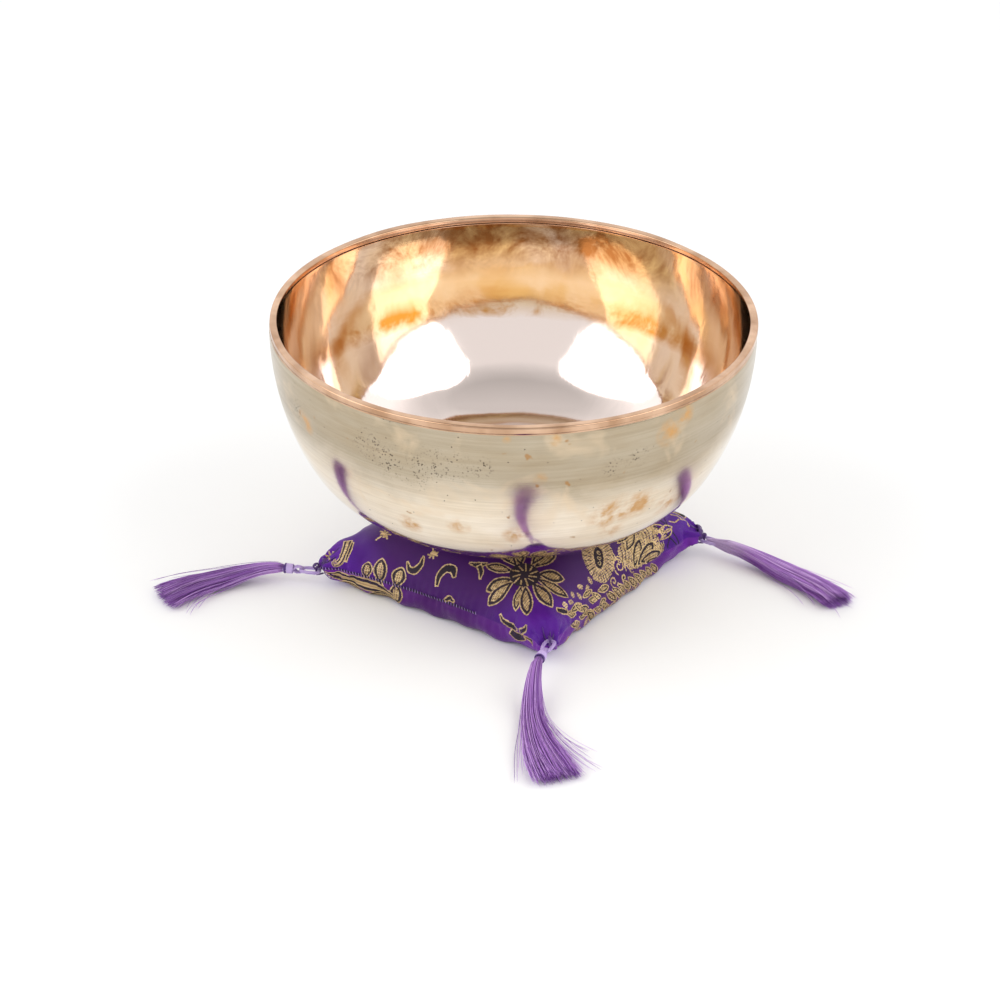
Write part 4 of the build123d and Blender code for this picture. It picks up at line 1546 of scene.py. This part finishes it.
def skirt(name):
    """Several hundred loose silky threads that droop from the collar to the floor."""
    _, eye, heading, _ = corner_frame(name)
    bend, lateness, length, belly, tip, start, strays = SKIRTS[name]
    start_turn = math.atan2(heading[1], heading[0])
    random = np.random.default_rng(SEED + 40 + CORNERS.index(name))
    threads, count = SILK_THREADS, SILK_POINTS
    steps = np.linspace(0, 1, count)
    share = random.uniform(0.965, 1.01, threads)
    share[:SHORT_THREADS] = random.uniform(0.80, 0.97, SHORT_THREADS)
    extra = random.normal(0, 1.8, threads)
    stray = np.zeros(threads, bool)
    stray[-strays:] = True
    sweep = np.where(np.arange(strays) % 3 < 2, 1.0, -0.55) * random.uniform(0.35, 1, strays)
    extra[stray] = sweep * math.copysign(38, bend)
    share[stray] = random.uniform(0.80, 1.08, strays)
    p_angle = random.uniform(0, 2 * math.pi, threads)
    p_radius = np.sqrt(random.uniform(0, 1, threads))
    p, q = p_radius * np.cos(p_angle), p_radius * np.sin(p_angle)
    p[stray] = np.sign(extra[stray]) * random.uniform(0.5, 1.0, strays)
    share *= 1 + CUT_SKEWS[name] * p
    early = (SKIRT_START - start) / length
    run = np.maximum(share[:, None] * steps[None, :] * (1 + early) - early, 0)
    turn = start_turn + np.radians(bend * run**lateness + extra[:, None] * run**1.5)
    step = length * (1 + early) * MM * share[:, None] / (count - 1)
    travel = np.stack([np.cos(turn), np.sin(turn)], -1) * step[..., None]
    flat = np.zeros((threads, count, 2))
    flat[:, 1:] = np.cumsum((travel[:, 1:] + travel[:, :-1]) / 2, axis=1)
    root = 3.2 if early else 1.9
    wide = np.interp(run, [0, 0.06, 0.45, 1.0], [root, max(root, 2.9), belly, tip]) * MM
    tall = np.interp(run, [0, 0.06, 0.45, 1.0], [root, max(root, 2.6), 3.4, 2.6]) * MM
    if early:
        p_radius = 0.93 + 0.12 * p_radius
        p, q = p_radius * np.cos(p_angle), p_radius * np.sin(p_angle)
        opening = np.clip(np.linspace(0, 1, count) * length / OPENING_LENGTH, 0, 1)
        wide = wide * (0.34 + 0.66 * opening)
        tall = np.maximum(tall, 3.1 * MM) * (0.34 + 0.66 * opening)
    lateral = p[:, None] * wide
    for lobes in (1.3, 2.7, 4.6):
        phase = random.uniform(0, 2 * math.pi, threads)[:, None]
        size = random.normal(0, 0.9 / lobes, threads)[:, None]
        lateral += np.sin(lobes * math.pi * run + phase) * size * run * MM
    floor = 3.0 * MM
    droop = np.clip(length * run / 38.0, 0, 1)
    height = eye[2] + (floor - eye[2]) * (1 - np.cos(math.pi * droop)) / 2
    vertical = q[:, None] * tall
    vertical += np.sin(3.1 * run + 9 * p[:, None]) * 0.5 * MM * run
    spine = eye[:2] + heading[:2] * start * MM
    paths = np.empty((threads, count, 3))
    paths[..., 0] = spine[0] + flat[..., 0] - np.sin(turn) * lateral
    paths[..., 1] = spine[1] + flat[..., 1] + np.cos(turn) * lateral
    paths[..., 2] = np.maximum(height + vertical, (0.25 + 0.25 * p_radius[:, None]) * MM)
    radius = random.uniform(0.14, 0.21, threads)[:, None] * np.ones(count) * MM
    radius[stray] *= 0.7
    points, quads = tubes(paths, radius, 3)
    piece = fast_mesh("silk_skirt_" + name, points, quads)
    for index, silk in enumerate(SILKS):
        piece.data.materials.append(
            thread_paint(f"silk_{name}_{index}", *silk, roughness=0.32, sheen=0.4,
                         pale_from=tuple(eye) if early else None)
        )
    lock = np.floor((p * 2.2 + 0.4 * q + 3) * 3).astype(int)
    shade = np.array([1, 0, 2, 1, 0, 1, 1, 2, 0, 1, 1, 0, 2, 1])[lock % 14]
    loose = random.uniform(0, 1, threads) < 0.35
    shade[loose] = random.integers(0, 3, loose.sum())
    piece.data.polygons.foreach_set(
        "material_index", np.repeat(shade, len(quads) // threads).astype(np.int32)
    )
    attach(piece, "tassel_" + name)
    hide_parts("skirt_" + name)


make_camera()
make_world()
make_floor()
make_softbox("softbox_left", -1)
make_softbox("softbox_right", 1)
bpy.context.scene.view_settings.view_transform = "Standard"
form = BowlForm()
make_bowl(form)
grids = simulate_cushion(form)
cover, cover_points, cover_quads = make_cushion(grids)
make_filling(cover, cover_points, cover_quads)
drape = Drape(grids)
make_brocade(drape)
slip_stitches(drape)
for corner in CORNERS:
    corner_whip(corner, drape, cover_points)
    loop_hank(corner)
    tassel_neck(corner)
    collar(corner)
    skirt(corner)
